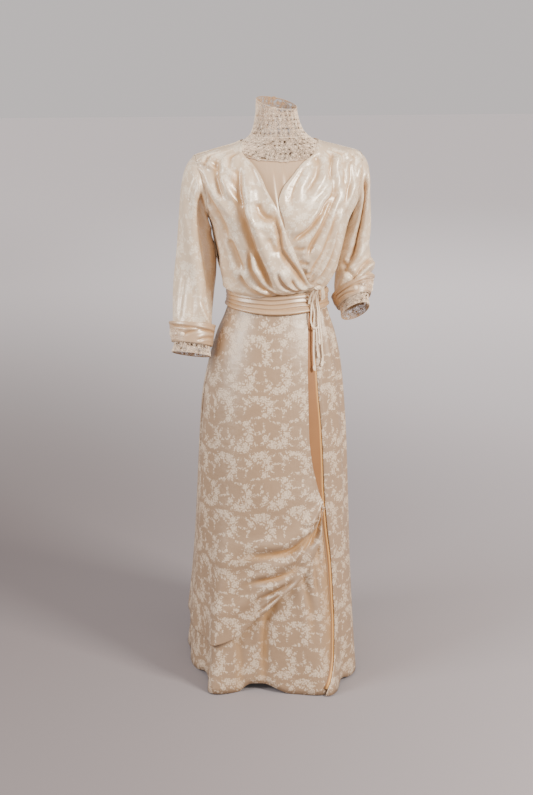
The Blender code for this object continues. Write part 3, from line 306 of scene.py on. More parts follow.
RIGHT_FRONT_CREASES = crease_table(1000,
    ((-27, 1300, -29, 1262, -31, 1220, -32.5, 1190, -33.5, 1165, -33, 1142, -30.6, 1120, -28, 1093,
      -23.6, 1066, -18.5, 1038, -13.5, 1012, -6.7, 992, 3, 981), 15, 4.3, 13.2, 10.5, 1, 15),
    ((-36, 1100, -34.5, 1068, -33, 1049, -28.5, 1032, -22, 1012, -15, 995, -6.5, 982, 8, 975),
     11.9, 4.1, 9, 6.6, 1, 11),
    ((-49, 1040, -42, 1015, -32, 996, -20, 984, -8, 976), 7.5, 4.8, 9.6, 4.4, 2, 12),
    ((-7, 1200, -8.5, 1158, -7, 1138, -6.3, 1114, -4.8, 1094, -0.8, 1073, 5.5, 1050, 12.5, 1030,
      20, 1018, 27, 1010), 10, 4.1, 9.6, 5.5, 2, 10),
    ((-11, 1050, -5, 1026, 1, 1010, 8, 997, 14, 989), 8.8, 3.8, 7.2, 4.4, 2, 9),
    ((1, 1034, 7, 1013, 12, 1002, 19, 992), 7.5, 3.6, 6, 3.3, 1.5, 8),
    ((-46, 1305, -46.5, 1270, -47.5, 1235, -48, 1205), 6.9, 6, 10.8, 3.9, 1, 14),
    ((-22, 1205, -20, 1180, -15, 1166, -10, 1166), 8.8, 9.6, 13.2, 3.3, 4, 20),
    ((-19, 1285, -20, 1255, -22, 1225), 4.4, 7.2, 9.6, 2.2, 2, 15),
    ((-56, 1120, -52, 1090, -47, 1060, -40, 1036), 6.9, 9.6, 12, 2.8, 2, 19),
    ((-60, 1318, -58, 1300, -58, 1275), 5, 4.8, 7.2, 2.8, 1.5, 11),
    ((-37, 1312, -36, 1295, -36.5, 1270), 5, 4.8, 6.6, 2.8, 1.5, 11),
    ((-68, 1260, -62, 1200, -60, 1150, -58, 1090), 5.6, 9.6, 13.2, 2.8, 1.5, 20),
    ((-16, 1125, -12, 1100, -7, 1078), 4.4, 6, 9.6, 2.2, 1, 13),
)
LEFT_FRONT_CREASES = crease_table(1000,
    ((1.5, 1108, 4.5, 1119, 9.5, 1129, 13.7, 1138, 17, 1148, 20, 1160, 24, 1177, 25.5, 1193, 30, 1212,
      31.5, 1234, 30.5, 1262), 10, 3.4, 8.5, 8.5, 2, 11),
    ((15, 1070, 18.5, 1089, 20.5, 1106, 24, 1124, 28, 1145, 30.5, 1167, 32.5, 1192, 35, 1217, 34, 1240),
     8.5, 10, 4, 2, 8, 13),
    ((12, 1286, 7.5, 1262, 4.2, 1243, 2, 1223, 1, 1203, 0.7, 1186), 4.5, 4, 7.5, 2.5, 1, 11),
    ((20, 1310, 21, 1285, 19, 1262, 14, 1235, 10, 1212), 5, 4.5, 8, 2.8, 1, 13),
    ((38, 1312, 31, 1290, 28.5, 1262, 29, 1240), 6.5, 4, 7.5, 5, 2, 12),
    ((24, 1012, 30, 1036, 36, 1070, 40, 1105, 42, 1150), 7, 6, 3.6, 2, 5, 11),
    ((32, 1006, 40, 1030, 47, 1070, 50, 1120, 50, 1175), 6, 7.5, 4, 2, 5, 13),
    ((44, 1315, 42, 1290, 41, 1255, 43, 1215), 4.8, 4.8, 8, 2.2, 1.2, 13),
    ((56, 1305, 54, 1270, 55, 1225), 4, 5.5, 8.5, 1.8, 1.2, 15),
    ((3, 1098, 9, 1091, 14, 1098), 7, 6, 4, 2, 4, 10),
    ((19, 1020, 26, 1052, 33, 1090, 37.5, 1130, 40, 1180, 39, 1225), 7.5, 8, 4.2, 1.5, 4.5, 12),
    ((48, 1300, 48, 1255, 47, 1210, 46, 1165), 6, 5.5, 9, 3, 1.5, 13),
    ((8, 1066, 14, 1056, 20, 1056), 6, 6, 4, 2, 3.5, 10),
    ((14, 1036, 20, 1030, 27, 1034), 5, 5, 3.5, 2, 2.5, 8),
)
# On a sleeve a crease's turn goes round the arm, from its outer side to the front and inwards, and its
# height is the share of the arm's length, counted downwards from the shoulder.
ARM_LENGTH = 0.44
ARM_FULL = 0.0185  # how much fuller a sleeve is on its inner side, against the bodice
RIGHT_SLEEVE_CREASES = crease_table(1,
    ((106, 0.06, 103, 0.16, 100, 0.28, 105, 0.42, 120, 0.54, 146, 0.7), 18, 36, 13, 0.5, 6.5, 24),
    ((70, 0.1, 64, 0.2, 62, 0.3), 4.5, 8, 4.5, 1, 3, 11),
    ((140, 0.76, 120, 0.7, 104, 0.66), 6, 6, 4, 3, 3, 10),
    ((52, 0.56, 46, 0.66, 40, 0.77), 2.2, 8, 7, 1.2, 1, 13),
    ((86, 0.6, 82, 0.7, 78, 0.78), 1.8, 8, 7, 1, 1, 13),
    ((250, 0.12, 240, 0.3, 225, 0.48, 215, 0.62), 9, 10, 7, 2, 4, 18),
    ((300, 0.3, 285, 0.48, 270, 0.7), 6, 8, 7, 2, 3, 15),
)
LEFT_SLEEVE_CREASES = crease_table(1,
    ((76, 0.06, 84, 0.18, 92, 0.32, 98, 0.46, 112, 0.6, 136, 0.72), 14, 12, 9, 3, 7, 19),
    ((14, 0.64, 36, 0.655, 62, 0.68, 92, 0.74, 124, 0.8, 150, 0.84), 8.5, 8, 6.2, 2, 7.5, 13),
    ((-30, 0.745, 0, 0.735, 28, 0.735, 50, 0.75, 72, 0.775), 8, 6.2, 6.2, 8.5, 6, 14),
    ((-20, 0.69, 4, 0.68, 22, 0.69), 6, 6.2, 6.2, 6, 2, 11),
    ((150, 0.58, 134, 0.62, 112, 0.7, 92, 0.78), 5, 6.2, 6.2, 3, 3, 10),
    ((40, 0.1, 34, 0.24, 36, 0.38), 4, 6.2, 8, 3, 1, 12),
    ((250, 0.14, 240, 0.32, 228, 0.5, 215, 0.66), 9, 10, 7, 2, 4, 18),
    ((310, 0.46, 290, 0.6, 275, 0.74), 6, 8, 7, 2, 3, 15),
)
CUFF_LENGTH = 0.057
CUFF_CREASES = crease_table(1,
    ((8, 0.16, 50, 0.24, 100, 0.26, 150, 0.33, 172, 0.4), 3, 3, 3.6, 2.2, 2, 6),
    ((58, 0.66, 74, 0.5, 98, 0.36, 124, 0.34, 156, 0.44), 3, 3, 5, 2.2, 0.5, 7),
    ((96, 0.88, 118, 0.7, 140, 0.62, 165, 0.66), 2.2, 4, 3, 1.5, 1, 7),
    ((200, 0.3, 240, 0.42, 290, 0.36), 2.5, 3.6, 3, 1.5, 1.5, 7),
    ((210, 0.7, 260, 0.62, 310, 0.7), 2.2, 3.6, 3, 1.5, 1.5, 7),
)
OVERSKIRT_CREASES = crease_table(1000,
    ((28.5, 478, 26, 462, 23, 445, 20, 431, 16.5, 421, 12, 417, 6, 418), 9, 7.5, 5.5, 4.5, 8, 11),
    ((27.8, 455, 23.8, 427, 19.8, 410, 16, 396, 11.8, 384, 7, 370, 2, 361, -4, 355, -12, 351, -24, 346,
      -40, 332), 9.5, 12, 13, 6, 9, 24),
    ((27.5, 444, 23, 416, 18.8, 393, 13, 366, 7.5, 337, 2.8, 312, -3, 298, -12, 289, -23, 281, -36, 264),
     7.5, 7.5, 9, 4.5, 4.5, 14),
    ((26.2, 435, 22.8, 407, 18.5, 384, 14.5, 358, 10, 330, 5, 303, 0, 279, -7, 262, -18, 243, -32, 222),
     5.5, 5, 5, 3, 3, 9),
    ((26.8, 432, 23.6, 400, 19.8, 372, 15, 342, 9, 309, 3, 281, -4, 256, -12, 228, -22, 200, -34, 163),
     3.5, 3.5, 4.5, 2, 2.5, 7),
)
UNDERSKIRT_CREASES = crease_table(1000,
    ((27, 445, 25.5, 415, 24, 385, 23, 350, 23, 310, 23.5, 260), 6, 7, 6, 2, 3, 12),
    ((22.5, 390, 20.8, 352, 19.5, 315, 19, 270, 19.5, 215), 6, 7, 8, 2, 3, 14),
    ((-5, 250, -10, 215, -13.5, 196, -15.2, 177, -16.2, 150, -16.8, 108, -17, 40, -17, -60),
     10, 15, 11, 1, 1, 22),
    ((8, 310, 10.2, 288, 12.2, 252, 13.5, 216, 13.8, 170, 13, 110), 5, 11, 11, 2, 2, 20),
    ((-36, 140, -35, 100, -34, 50, -34, -40), 4.5, 11, 11, 1, 1, 20),
    ((150, 300, 153, 180, 154, 50, 154, -60), 7, 14, 14, 1, 1, 22),
    ((206, 340, 203, 200, 203, 60, 203, -60), 6, 14, 14, 1, 1, 22),
)
BACK_SKIRT_CREASES = crease_table(1000,
    ((170, 960, 168, 900, 163, 800, 160, 660), 6, 6, 6, 2, 2, 13),
    ((188, 960, 190, 890, 194, 800, 196, 700), 5.5, 6, 6, 2, 2, 13),
    ((156, 960, 153, 890, 147, 800), 4.5, 5.5, 6, 2, 1.5, 12),
    ((205, 960, 208, 905, 213, 830), 4.5, 6, 5.5, 1.5, 2, 12),
    ((126, 540, 124, 400, 124, 260), 4, 14, 14, 1, 1, 22),
    ((226, 620, 230, 460, 232, 300), 4, 14, 14, 1, 1, 22),
)
BACK_CREASES = crease_table(1000,
    ((168, 980, 166, 1020, 162, 1075, 159, 1120), 6, 6, 7, 2.5, 2, 13),
    ((183, 980, 184, 1015, 186, 1060), 5, 5.5, 6, 2, 2, 12),
    ((196, 980, 199, 1030, 204, 1095, 207, 1150), 6, 7, 6, 2, 2.5, 13),
    ((150, 980, 146, 1020, 139, 1070), 5.5, 6, 7, 2.5, 2, 13),
    ((214, 980, 219, 1025, 226, 1075), 5.5, 7, 6, 2, 2.5, 13),
    ((132, 985, 126, 1030, 118, 1090, 112, 1140), 5, 7, 8, 2, 2, 15),
    ((232, 985, 239, 1035, 247, 1100), 5, 8, 7, 2, 2, 15),
    ((112, 1190, 126, 1170, 142, 1130), 4.5, 10, 10, 2, 1.5, 18),
    ((248, 1200, 236, 1176, 222, 1140), 4.5, 10, 10, 1.5, 2, 18),
    ((148, 1300, 146, 1250, 142, 1195), 4, 9, 10, 1.5, 1.5, 17),
    ((214, 1296, 215, 1240, 219, 1200), 4, 10, 9, 1.5, 1.5, 17),
)


def column(rows, name):
    return np.array([getattr(row, name) for row in rows], float)


def smooth(knots, values, at):
    """A curve through the values that never overshoots them."""
    step = np.diff(knots)
    slope = np.diff(values) / step
    tangent = np.empty(len(knots))
    tangent[0], tangent[-1] = slope[0], slope[-1]
    both = slope[:-1] * slope[1:]
    total = slope[:-1] + slope[1:]
    tangent[1:-1] = np.where(both > 0, 2 * both / np.where(total == 0, 1, total), 0)
    at = np.clip(at, knots[0], knots[-1])
    k = np.clip(np.searchsorted(knots, at) - 1, 0, len(knots) - 2)
    s = (at - knots[k]) / step[k]
    start = values[k] * (1 + 2 * s) * (1 - s) ** 2 + step[k] * tangent[k] * s * (1 - s) ** 2
    end = values[k + 1] * s * s * (3 - 2 * s) - step[k] * tangent[k + 1] * s * s * (1 - s)
    return start + end


def read(rows, key, name, at):
    return smooth(column(rows, key), column(rows, name), at)


def along(rows, name, share):
    return smooth(np.linspace(0, 1, len(rows)), column(rows, name), share)


def ramp(low, high, at):
    s = np.clip((np.asarray(at, float) - low) / (high - low), 0, 1)
    return s * s * (3 - 2 * s)


def off_edges(width, share):
    """1, but 0 at both edges of a piece, with a soft rise over a width beside them."""
    return ramp(0, width, share) * ramp(0, width, 1 - share)


def mix(a, b, share):
    return a + (b - a) * share


def bump(at, centre, width):
    return np.exp(-(((at - centre) / width) ** 2))


def figure(turn, height):
    """Points on the figure that the gown is worn on."""
    turn, height = np.broadcast_arrays(np.radians(turn), height)
    centre, half_width, front, back = (
        read(FIGURE, "height", name, height) for name in Section._fields[1:]
    )
    across, ahead = np.sin(turn), np.cos(turn)
    power = 2 / SQUARENESS
    x = centre + half_width * np.sign(across) * np.abs(across) ** power
    y = -np.where(ahead > 0, front, back) * np.sign(ahead) * np.abs(ahead) ** power
    return np.stack([x, y, height], -1)


def unit(vectors):
    return vectors / np.linalg.norm(vectors, axis=-1, keepdims=True)


def travelled(points):
    """How far each point lies along its line, from the line's first point."""
    steps = np.linalg.norm(np.diff(points, axis=-2), axis=-1)
    return np.concatenate([0 * steps[..., :1], np.cumsum(steps, -1)], -1)


def lookup(values, row_at, column_at):
    """Reads a grid of values at places between its rows and columns."""
    row_at = np.clip(row_at, 0, len(values) - 1.001)
    column_at = np.clip(column_at, 0, len(values[0]) - 1.001)
    r, c = row_at.astype(int), column_at.astype(int)
    low, high = (mix(values[n, c], values[n, c + 1], column_at - c) for n in (r, r + 1))
    return mix(low, high, row_at - r)


def outward(turn, height):
    """Unit vectors square to the figure."""
    small_turn, small_height = 0.5, 0.0005
    across = figure(turn + small_turn, height) - figure(turn - small_turn, height)
    up = figure(turn, height + small_height) - figure(turn, height - small_height)
    return unit(np.cross(across, up))


def flute(turn, height):
    total = np.zeros(np.broadcast(turn, height).shape)
    for f in FLUTES:
        apart = (turn - f.turn + 180) % 360 - 180
        fall = np.clip((f.top - height) / f.top, 0, 1) ** 1.4
        total = total + f.reach * bump(apart, 0, f.width) * fall
    return total


def hem(turn):
    return HEM_LIFT * (1 - ramp(-0.017, 0.006, flute(turn, 0.0)))


def lean(points):
    """Raises the left shoulder over the right."""
    points[..., 2] += SHOULDER_LEAN * points[..., 0] * ramp(1.0, 1.25, points[..., 2])
    return points


def on_bare(turn, height, out):
    turn, height, out = np.broadcast_arrays(turn, height, out)
    return figure(turn, height) + outward(turn, height) * out[..., None]


def on_figure(turn, height, out):
    return lean(on_bare(turn, height, out))


def on_skirt(turn, height, out):
    return on_figure(turn, height, out + flute(turn, height))


def fold_height(folds, across, down):
    total = np.zeros(np.broadcast(across, down).shape)
    shares = np.linspace(0, 1, 5)
    for f in folds:
        track = smooth(shares, np.array(f[:5]), down)
        fade = ramp(f.start, f.start + 0.3, down) if f.start > 0 else 1.0
        if f.end < 1:
            fade = fade * (1 - ramp(f.end - 0.2, f.end, down))
        total = total + f.out * bump(across, track, f.width) * fade
    return total


def crease_height(creases, turn, height, radius, start=0.15, pinch=1.0):
    """The creases' height at places on a piece whose radius is given; pinch narrows their starts."""
    here = np.stack([np.radians(turn) * radius, height], -1)
    total = np.zeros(len(here))
    for crease in creases:
        knots = np.array(crease.path, float)
        knots[:, 0] = np.radians(knots[:, 0]) * radius
        share = np.linspace(0, 1, 4 * len(knots))
        even = np.linspace(0, 1, len(knots))
        line = np.stack([smooth(even, knots[:, 0], share), smooth(even, knots[:, 1], share)], -1)
        nearest = np.full(len(here), np.inf)
        side, place = np.zeros(len(here)), np.zeros(len(here))
        for k in range(len(line) - 1):
            run = line[k + 1] - line[k]
            step = np.clip(((here - line[k]) @ run) / (run @ run), 0, 1)
            gap = here - line[k] - step[:, None] * run
            away = np.hypot(gap[:, 0], gap[:, 1])
            closer = away < nearest
            nearest = np.where(closer, away, nearest)
            side = np.where(closer, np.sign(run[0] * gap[:, 1] - run[1] * gap[:, 0]), side)
            place = np.where(closer, (k + step) / (len(line) - 1), place)
        fade = ramp(0, start, place) * (1 - ramp(0.72, 1, place))
        signed = nearest * side / mix(pinch, 1.0, ramp(0, 0.35, place))
        dip = crease.depth * bump(signed, 0, np.where(signed > 0, crease.left_width, crease.right_width))
        roll_width = 0.62 * crease.roll
        rolls = crease.left * bump(signed, crease.roll, roll_width)
        rolls = rolls + crease.right * bump(signed, -crease.roll, roll_width)
        total = total + (rolls - dip) * fade
    return total


def side_turn(height):
    """The turn where a bodice piece ends at its side: the armhole, or else the seam at 90 degrees."""
    reach = read(ARMHOLE, "height", "reach", height)
    share = np.clip(reach / read(FIGURE, "height", "half_width", height), 0, 1)
    return np.degrees(np.arcsin(share ** (SQUARENESS / 2)))


def seam_inset(height):
    return np.degrees(SEAM / read(FIGURE, "height", "front", height))


class Sum:
    """A socket's value that takes part in sums; each sum adds its Math node."""

    def __init__(self, tree, socket):
        self.tree = tree
        self.socket = socket

    def math(self, operation, *values):
        node = self.tree.nodes.new("ShaderNodeMath")
        node.operation = operation
        for socket, value in zip(node.inputs, values):
            if isinstance(value, Sum):
                self.tree.links.new(value.socket, socket)
            else:
                socket.default_value = value
        return Sum(self.tree, node.outputs[0])

    def __add__(self, other):
        return self.math("ADD", self, other)

    __radd__ = __add__

    def __sub__(self, other):
        return self.math("SUBTRACT", self, other)

    def __rsub__(self, other):
        return self.math("SUBTRACT", other, self)

    def __mul__(self, other):
        return self.math("MULTIPLY", self, other)

    __rmul__ = __mul__

    def __truediv__(self, other):
        return self.math("DIVIDE", self, other)

    def least(self, other):
        return self.math("MINIMUM", self, other)

    def most(self, other):
        return self.math("MAXIMUM", self, other)

    def floor(self):
        return self.math("FLOOR", self)

    def fraction(self):
        return self.math("FRACT", self)


class Finish:
    """A material with one Principled shader, and one way to add a node to it."""

    def __init__(self, name, colour, roughness, **sockets):
        self.material = bpy.data.materials.new(name)
        self.material.use_nodes = True
        self.tree = self.material.node_tree
        self.shader = self.tree.nodes["Principled BSDF"]
        self.shader.inputs["Base Color"].default_value = (*colour, 1)
        self.shader.inputs["Roughness"].default_value = roughness
        for socket, value in sockets.items():
            self.shader.inputs[socket.replace("_", " ")].default_value = value

    def node(self, kind, settings=None, **values):
        made = self.tree.nodes.new("ShaderNode" + kind)
        for name, value in (settings or {}).items():
            setattr(made, name, value)
        for name, value in values.items():
            self.connect(value, made.inputs[int(name[1:]) if name[1:].isdigit() else name])
        return made

    def connect(self, value, target):
        if isinstance(value, Sum):
            value = value.socket
        if isinstance(value, bpy.types.NodeSocket):
            self.tree.links.new(value, target)
        else:
            target.default_value = value

    def sum(self, socket):
        return Sum(self.tree, socket)

    def cut(self):
        """A place on the flat cloth, in metres."""
        return self.node("UVMap", {"uv_map": "cut"}).outputs[0]

    # The painted shading stored on a mesh's points, which paints shade into the colour of creases and gaps.
    def painted_shading(self):
        return self.sum(self.node("Attribute", {"attribute_name": "painted_shading"}).outputs["Fac"])

    def vector(self, operation, first, *others):
        inputs = dict(zip(("i1", "i2"), others))
        return self.node("VectorMath", {"operation": operation}, i0=first, **inputs)

    def drive(self, name, value):
        self.connect(value, self.shader.inputs[name])

    def step(self, low, high, value):
        """0 below low and 1 above high, with a soft rise between."""
        made = self.node("MapRange", {"interpolation_type": "SMOOTHSTEP"}, Value=value, i1=low, i2=high)
        return self.sum(made.outputs["Result"])

    def blend(self, share, first, second):
        """A colour between two others, each a socket or three numbers."""
        first, second = (
            (*colour, 1) if isinstance(colour, tuple) else colour for colour in (first, second)
        )
        return self.node("Mix", {"data_type": "RGBA"}, Factor=share, i6=first, i7=second).outputs[2]

    def noise(self, where, scale, detail=2.0):
        return self.sum(self.node("TexNoise", {}, Vector=where, Scale=scale, Detail=detail).outputs["Fac"])

    def raised(self, height, strength, distance, **below):
        made = self.node("Bump", {}, Strength=strength, Distance=distance, Height=height, **below)
        return made.outputs[0]


# The woven figure: garlands open below alternate with the same ones open above, half a repeat
# aside. Sizes in millimetres from a garland's middle.
REPEAT_WIDE = 90.0
REPEAT_HIGH = 141.0
Rose = namedtuple("Rose", "x y radius")
ROSES = table(Rose,
    (-9, 24, 9.5), (8, 25, 10), (22, 13, 10.5), (26, -5, 9), (17, -20, 8.5), (-25, 12, 8), (-31, -4, 4.5),
    (2, -27, 4.5), (-2, 12, 3.5), (12, 2, 4),
)
Sprig = namedtuple("Sprig", "x y angle length width")
SPRIGS = table(Sprig,
    (-21, 26, 130, 9, 4), (-33, 20, 150, 9, 4.5), (-40, 1, 190, 8, 3.8), (-32, -16, 95, 9, 3.4),
    (-17, 2, 60, 7, 3.2), (-3, 31, 80, 6, 4), (19, 27, 40, 8, 4.4), (36, 21, 25, 9, 4.2),
    (39, 2, -10, 7.5, 4), (34, -18, -40, 9.5, 4.2), (26, -27, -75, 5.5, 3.4), (-9, -28, 10, 9.5, 3.4),
    (5, 10, 60, 7, 3), (10, -8, 20, 6, 3),
)


def woven_figure(finish):
    """How much of the figure shows at a place on the cut cloth: 1 on a flower or a leaf."""
    cut = finish.cut()
    moved = cut
    for scale, detail, reach in ((38.0, 1.0, (0.007, 0.007, 0)), (7.5, 0.0, (0.030, 0.050, 0))):
        waver = finish.node("TexNoise", {}, Vector=cut, Scale=scale, Detail=detail).outputs["Color"]
        moved = finish.vector("MULTIPLY_ADD", waver, reach, moved).outputs[0]
    parts = finish.node("SeparateXYZ", {}, Vector=moved)
    right = finish.sum(parts.outputs[0]) * (1000 / REPEAT_WIDE)
    up = finish.sum(parts.outputs[1]) * (2000 / REPEAT_HIGH)
    row = up.floor()
    odd = (row * 0.5).fraction() * 2
    x = ((right + odd * 0.5).fraction() - 0.5) * REPEAT_WIDE
    y = ((up - row - 0.5) * (REPEAT_HIGH / 2) + odd * -3.0 + 0.5) * (1 - odd * 2) * 0.94
    place = finish.node("CombineXYZ", {}, i0=x, i1=y).outputs[0]

    roses, leaves = [], []
    for rose in ROSES:
        apart = finish.vector("DISTANCE", place, (rose.x, rose.y, 0))
        roses.append(finish.sum(apart.outputs["Value"]) / rose.radius)
    for sprig in SPRIGS:
        turn = (0, 0, math.radians(sprig.angle))
        size = (sprig.length, sprig.width, 1)
        own = finish.node("Mapping", {"vector_type": "TEXTURE"}, Vector=place,
                          Location=(sprig.x, sprig.y, 0), Rotation=turn, Scale=size)
        leaves.append(finish.sum(finish.vector("LENGTH", own.outputs[0]).outputs["Value"]))
    rose_away = functools.reduce(Sum.least, roses)
    leaf_away = functools.reduce(Sum.least, leaves)

    cells = {"voronoi_dimensions": "2D"}
    petals = finish.sum(finish.node("TexVoronoi", cells, Vector=cut, Scale=230.0).outputs["Distance"])
    cells["distance"] = "MINKOWSKI"
    tufts = finish.node("TexVoronoi", cells, Vector=cut, Scale=230.0, Exponent=0.6).outputs["Distance"]
    tufts = finish.sum(tufts)
    flowers = 1 - finish.step(0.93, 1.01, rose_away + petals * 0.60 - 0.20)
    veins = finish.step(0.36, 0.50, petals) * finish.step(0.2, 0.4, rose_away)
    tips = 1 - finish.step(0.98, 1.10, leaf_away + tufts * 1.15 - 0.28)
    loose = (1 - finish.step(1.22, 1.36, rose_away)) * (1 - finish.step(0.30, 0.40, tufts))
    return (flowers * (1 - veins * 0.65)).most(tips.most(loose * 0.9))


def silk(name, colour, roughness, index, threads):
    """A glossy silk, with a streak along its threads."""
    finish = Finish(name, colour, roughness, IOR=index, Specular_IOR_Level=0.9, Specular_Tint=SILK_TINT)
    along_threads = finish.node("Mapping", {}, Vector=finish.cut(), Scale=threads).outputs[0]
    return finish, finish.noise(along_threads, 1.0, 3.0)


def figured_satin(name, dark, light, figure_colour, contrast, index, gloss):
    """Satin with a woven figure: the ground is glossy, with fine threads, and the figure duller."""
    finish, streak = silk(name, light, gloss, index, (900.0, 22.0, 1.0))
    shown = woven_figure(finish)
    cloud = finish.noise(finish.cut(), 9.0, 2.0)
    ground = finish.blend((cloud - 0.35) * 1.2, finish.blend(streak, dark, light), light)
    woven_colour = finish.blend(shown * contrast, ground, figure_colour)
    # Painted shade: the colour turns golden brown where the painted shading marks creases and gaps.
    finish.drive("Base Color", finish.blend(finish.painted_shading() * 0.88, woven_colour, SATIN_PAINTED_SHADE))
    finish.drive("Roughness", gloss + shown * 0.20 + (streak - 0.5) * 0.10)
    crumple = finish.noise(finish.cut(), 46.0, 3.0)
    soft = finish.raised(crumple, 0.6, 0.0022)
    finish.drive("Normal", finish.raised(shown + streak * 0.35, 0.25, 0.0004, Normal=soft))
    return finish.material


def plain_satin(name, dark, light):
    finish, streak = silk(name, light, 0.36, 1.7, (700.0, 30.0, 1.0))
    plain = finish.blend(streak, dark, light)
    # Painted shade: the colour turns golden brown where the painted shading marks creases, tucks and pleat
    # gaps.
    finish.drive("Base Color", finish.blend(finish.painted_shading() * 0.8, plain, PLAIN_PAINTED_SHADE))
    finish.drive("Normal", finish.raised(streak, 0.10, 0.0004))
    return finish.material


def peach_strip():
    """Peach cloth with painted light: duller where the painted shading is 0, and a painted bright golden
    glow where it is 1, beside the panel, where its shadow falls.
    """
    finish = Finish("peach_strip", (0.60, 0.30, 0.12), 0.62, Sheen_Weight=0.1)
    cloud = finish.noise(finish.cut(), 14.0, 3.0)
    golden = finish.painted_shading()
    peach = finish.blend(cloud, (0.235, 0.090, 0.021), (0.31, 0.132, 0.037))
    turned = finish.blend(golden * 2, (0.30, 0.180, 0.092), peach)
    finish.drive("Base Color", finish.blend(golden * 2 - 1, turned, (0.85, 0.46, 0.15)))
    return finish.material


def crochet_thread():
    """Ivory thread of a tone varying at random, painted brown as shade along a thread's edges and wrong
    side.
    """
    finish = Finish("crochet_thread", (0.78, 0.66, 0.50), 0.75, Sheen_Weight=0.2)
    where = finish.node("TexCoord").outputs["Object"]
    ridge = finish.blend(finish.noise(where, 60.0, 3.0), (0.76, 0.54, 0.35), (0.98, 0.84, 0.67))
    finish.drive("Base Color", finish.blend(finish.painted_shading() * 0.9, ridge, (0.36, 0.19, 0.075)))
    finish.drive("Normal", finish.raised(finish.noise(where, 1400.0, 1.0), 0.5, 0.0003))
    return finish.material


SILK_TINT = (1.0, 0.93, 0.82, 1.0)
# Golden browns painted into creases and gaps as shade.
SATIN_PAINTED_SHADE = (0.47, 0.255, 0.095)
PLAIN_PAINTED_SHADE = (0.42, 0.23, 0.09)
FINISHES = {
    # The skirts' figured satin, painted darker than the bodice's copy below: painted shade where the light
    # falls off downwards.
    "figured_satin": figured_satin(
        "figured_satin", (0.280, 0.170, 0.092), (0.350, 0.222, 0.127), (0.60, 0.455, 0.315),
        contrast=1.0, index=1.65, gloss=0.40,
    ),
    # The same figured satin on the bodice and sleeves, painted lighter: painted light where it falls
    # stronger.
    "bodice_satin_painted_lighter": figured_satin(
        "bodice_satin_painted_lighter", (0.57, 0.405, 0.25), (0.68, 0.515, 0.35), (0.80, 0.665, 0.50),
        contrast=0.85, index=1.75, gloss=0.33,
    ),
    "plain_satin": plain_satin("plain_satin", (0.40, 0.245, 0.130), (0.52, 0.345, 0.205)),
    "tie_satin": plain_satin("tie_satin", (0.66, 0.49, 0.32), (0.78, 0.62, 0.44)),
    "placket": peach_strip(),
    "lace": crochet_thread(),
}

# The cloth's arc round the figure, from the centre front, for the pattern to keep its scale.
ARC_TURNS = np.linspace(-100, 274, 188)
ARC_HEIGHTS = np.linspace(0, 1.34, 68)
ARC = travelled(on_skirt(ARC_TURNS[None, :], ARC_HEIGHTS[:, None], 0.0))
ARC = ARC - np.array([np.interp(0, ARC_TURNS, row) for row in ARC])[:, None]


def grain(turn, height, middle=0.0):
    """Where a place lies on the cut cloth: across from the middle of the front or the back, and up."""
    across = lookup(ARC, height / ARC_HEIGHTS[1], (turn - ARC_TURNS[0]) / (ARC_TURNS[1] - ARC_TURNS[0]))
    if middle:
        across = across - grain(np.full(np.shape(turn), middle), height)[..., 0] + 0.020
    return np.stack([across, height], -1)


def flat_cut(across, down):
    """Places on the cut cloth of a piece that lies straight on it."""
    return np.stack([across, -down], -1)


def to_frame(points):
    """From heights above the hem to the frame, whose origin is where the shoulders carry the gown."""
    return points - np.array([0, 0, CARRY_HEIGHT])


def smooth_mesh(bm, name):
    mesh = bpy.data.meshes.new(name)
    bm.to_mesh(mesh)
    bm.free()
    mesh.shade_smooth()
    return mesh


def settle(mesh, finish_name, nodes):
    """Makes a piece of a mesh, in place of the solids whose nodes are given."""
    mesh.materials.append(FINISHES[finish_name])
    obj = bpy.data.objects.new(mesh.name, mesh)
    bpy.context.scene.collection.objects.link(obj)
    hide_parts(*nodes)
    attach(obj, "root")
    return obj


def shade(mesh, values):
    """Stores each point's share of the painted shading in its colour: painted shade in creases and gaps,
    and on the placket a painted glow.
    """
    mesh.attributes.new("painted_shading", "FLOAT", "POINT").data.foreach_set("value", values.astype(np.float32))


def hang(name, grid, place, finish_name, area=None, wall=SATIN_WALL):
    """A cloth piece: a flat grid of the cut, laid where place(across, down) says.

    place gives the points, where they lie on the cut cloth and, for some pieces, a depth for each
    point: how far it has fallen into a crease, with painted shade added as more depth, which sets
    the painted shading of its colour.
    """
    bm = bmesh.new()
    bmesh.ops.create_grid(bm, x_segments=grid[0], y_segments=grid[1], size=0.5)
    bmesh.ops.translate(bm, verts=bm.verts, vec=(0.5, 0.5, 0))
    mesh = smooth_mesh(bm, name + "_cloth")
    spots = np.empty((len(mesh.vertices), 3), np.float32)
    mesh.vertices.foreach_get("co", spots.ravel())
    across, down = spots[:, 0].astype(float), spots[:, 1].astype(float)
    outer, uv, *fallen = place(across, down)
    if fallen:
        # Painted shade: the deeper a point lies in a crease, the darker its colour is painted.
        shade(mesh, np.clip(-fallen[0] / DEEP, 0, 1) + 0 * across)
    mesh.vertices.foreach_set("co", to_frame(outer).astype(np.float32).ravel())
    corner = np.empty(len(mesh.loops), np.int32)
    mesh.loops.foreach_get("vertex_index", corner)
    mesh.uv_layers.new(name="cut").data.foreach_set("uv", uv[corner].astype(np.float32).ravel())
    mesh.update()
    obj = settle(mesh, finish_name, [name])
    if wall:
        thick = obj.modifiers.new("wall", "SOLIDIFY")
        thick.thickness = wall
        thick.offset = -1


def face_out(place):
    """Turns a piece's grid over, so that its faces point outwards."""

    def turned(across, down):
        return place(1 - across, down)

    return turned


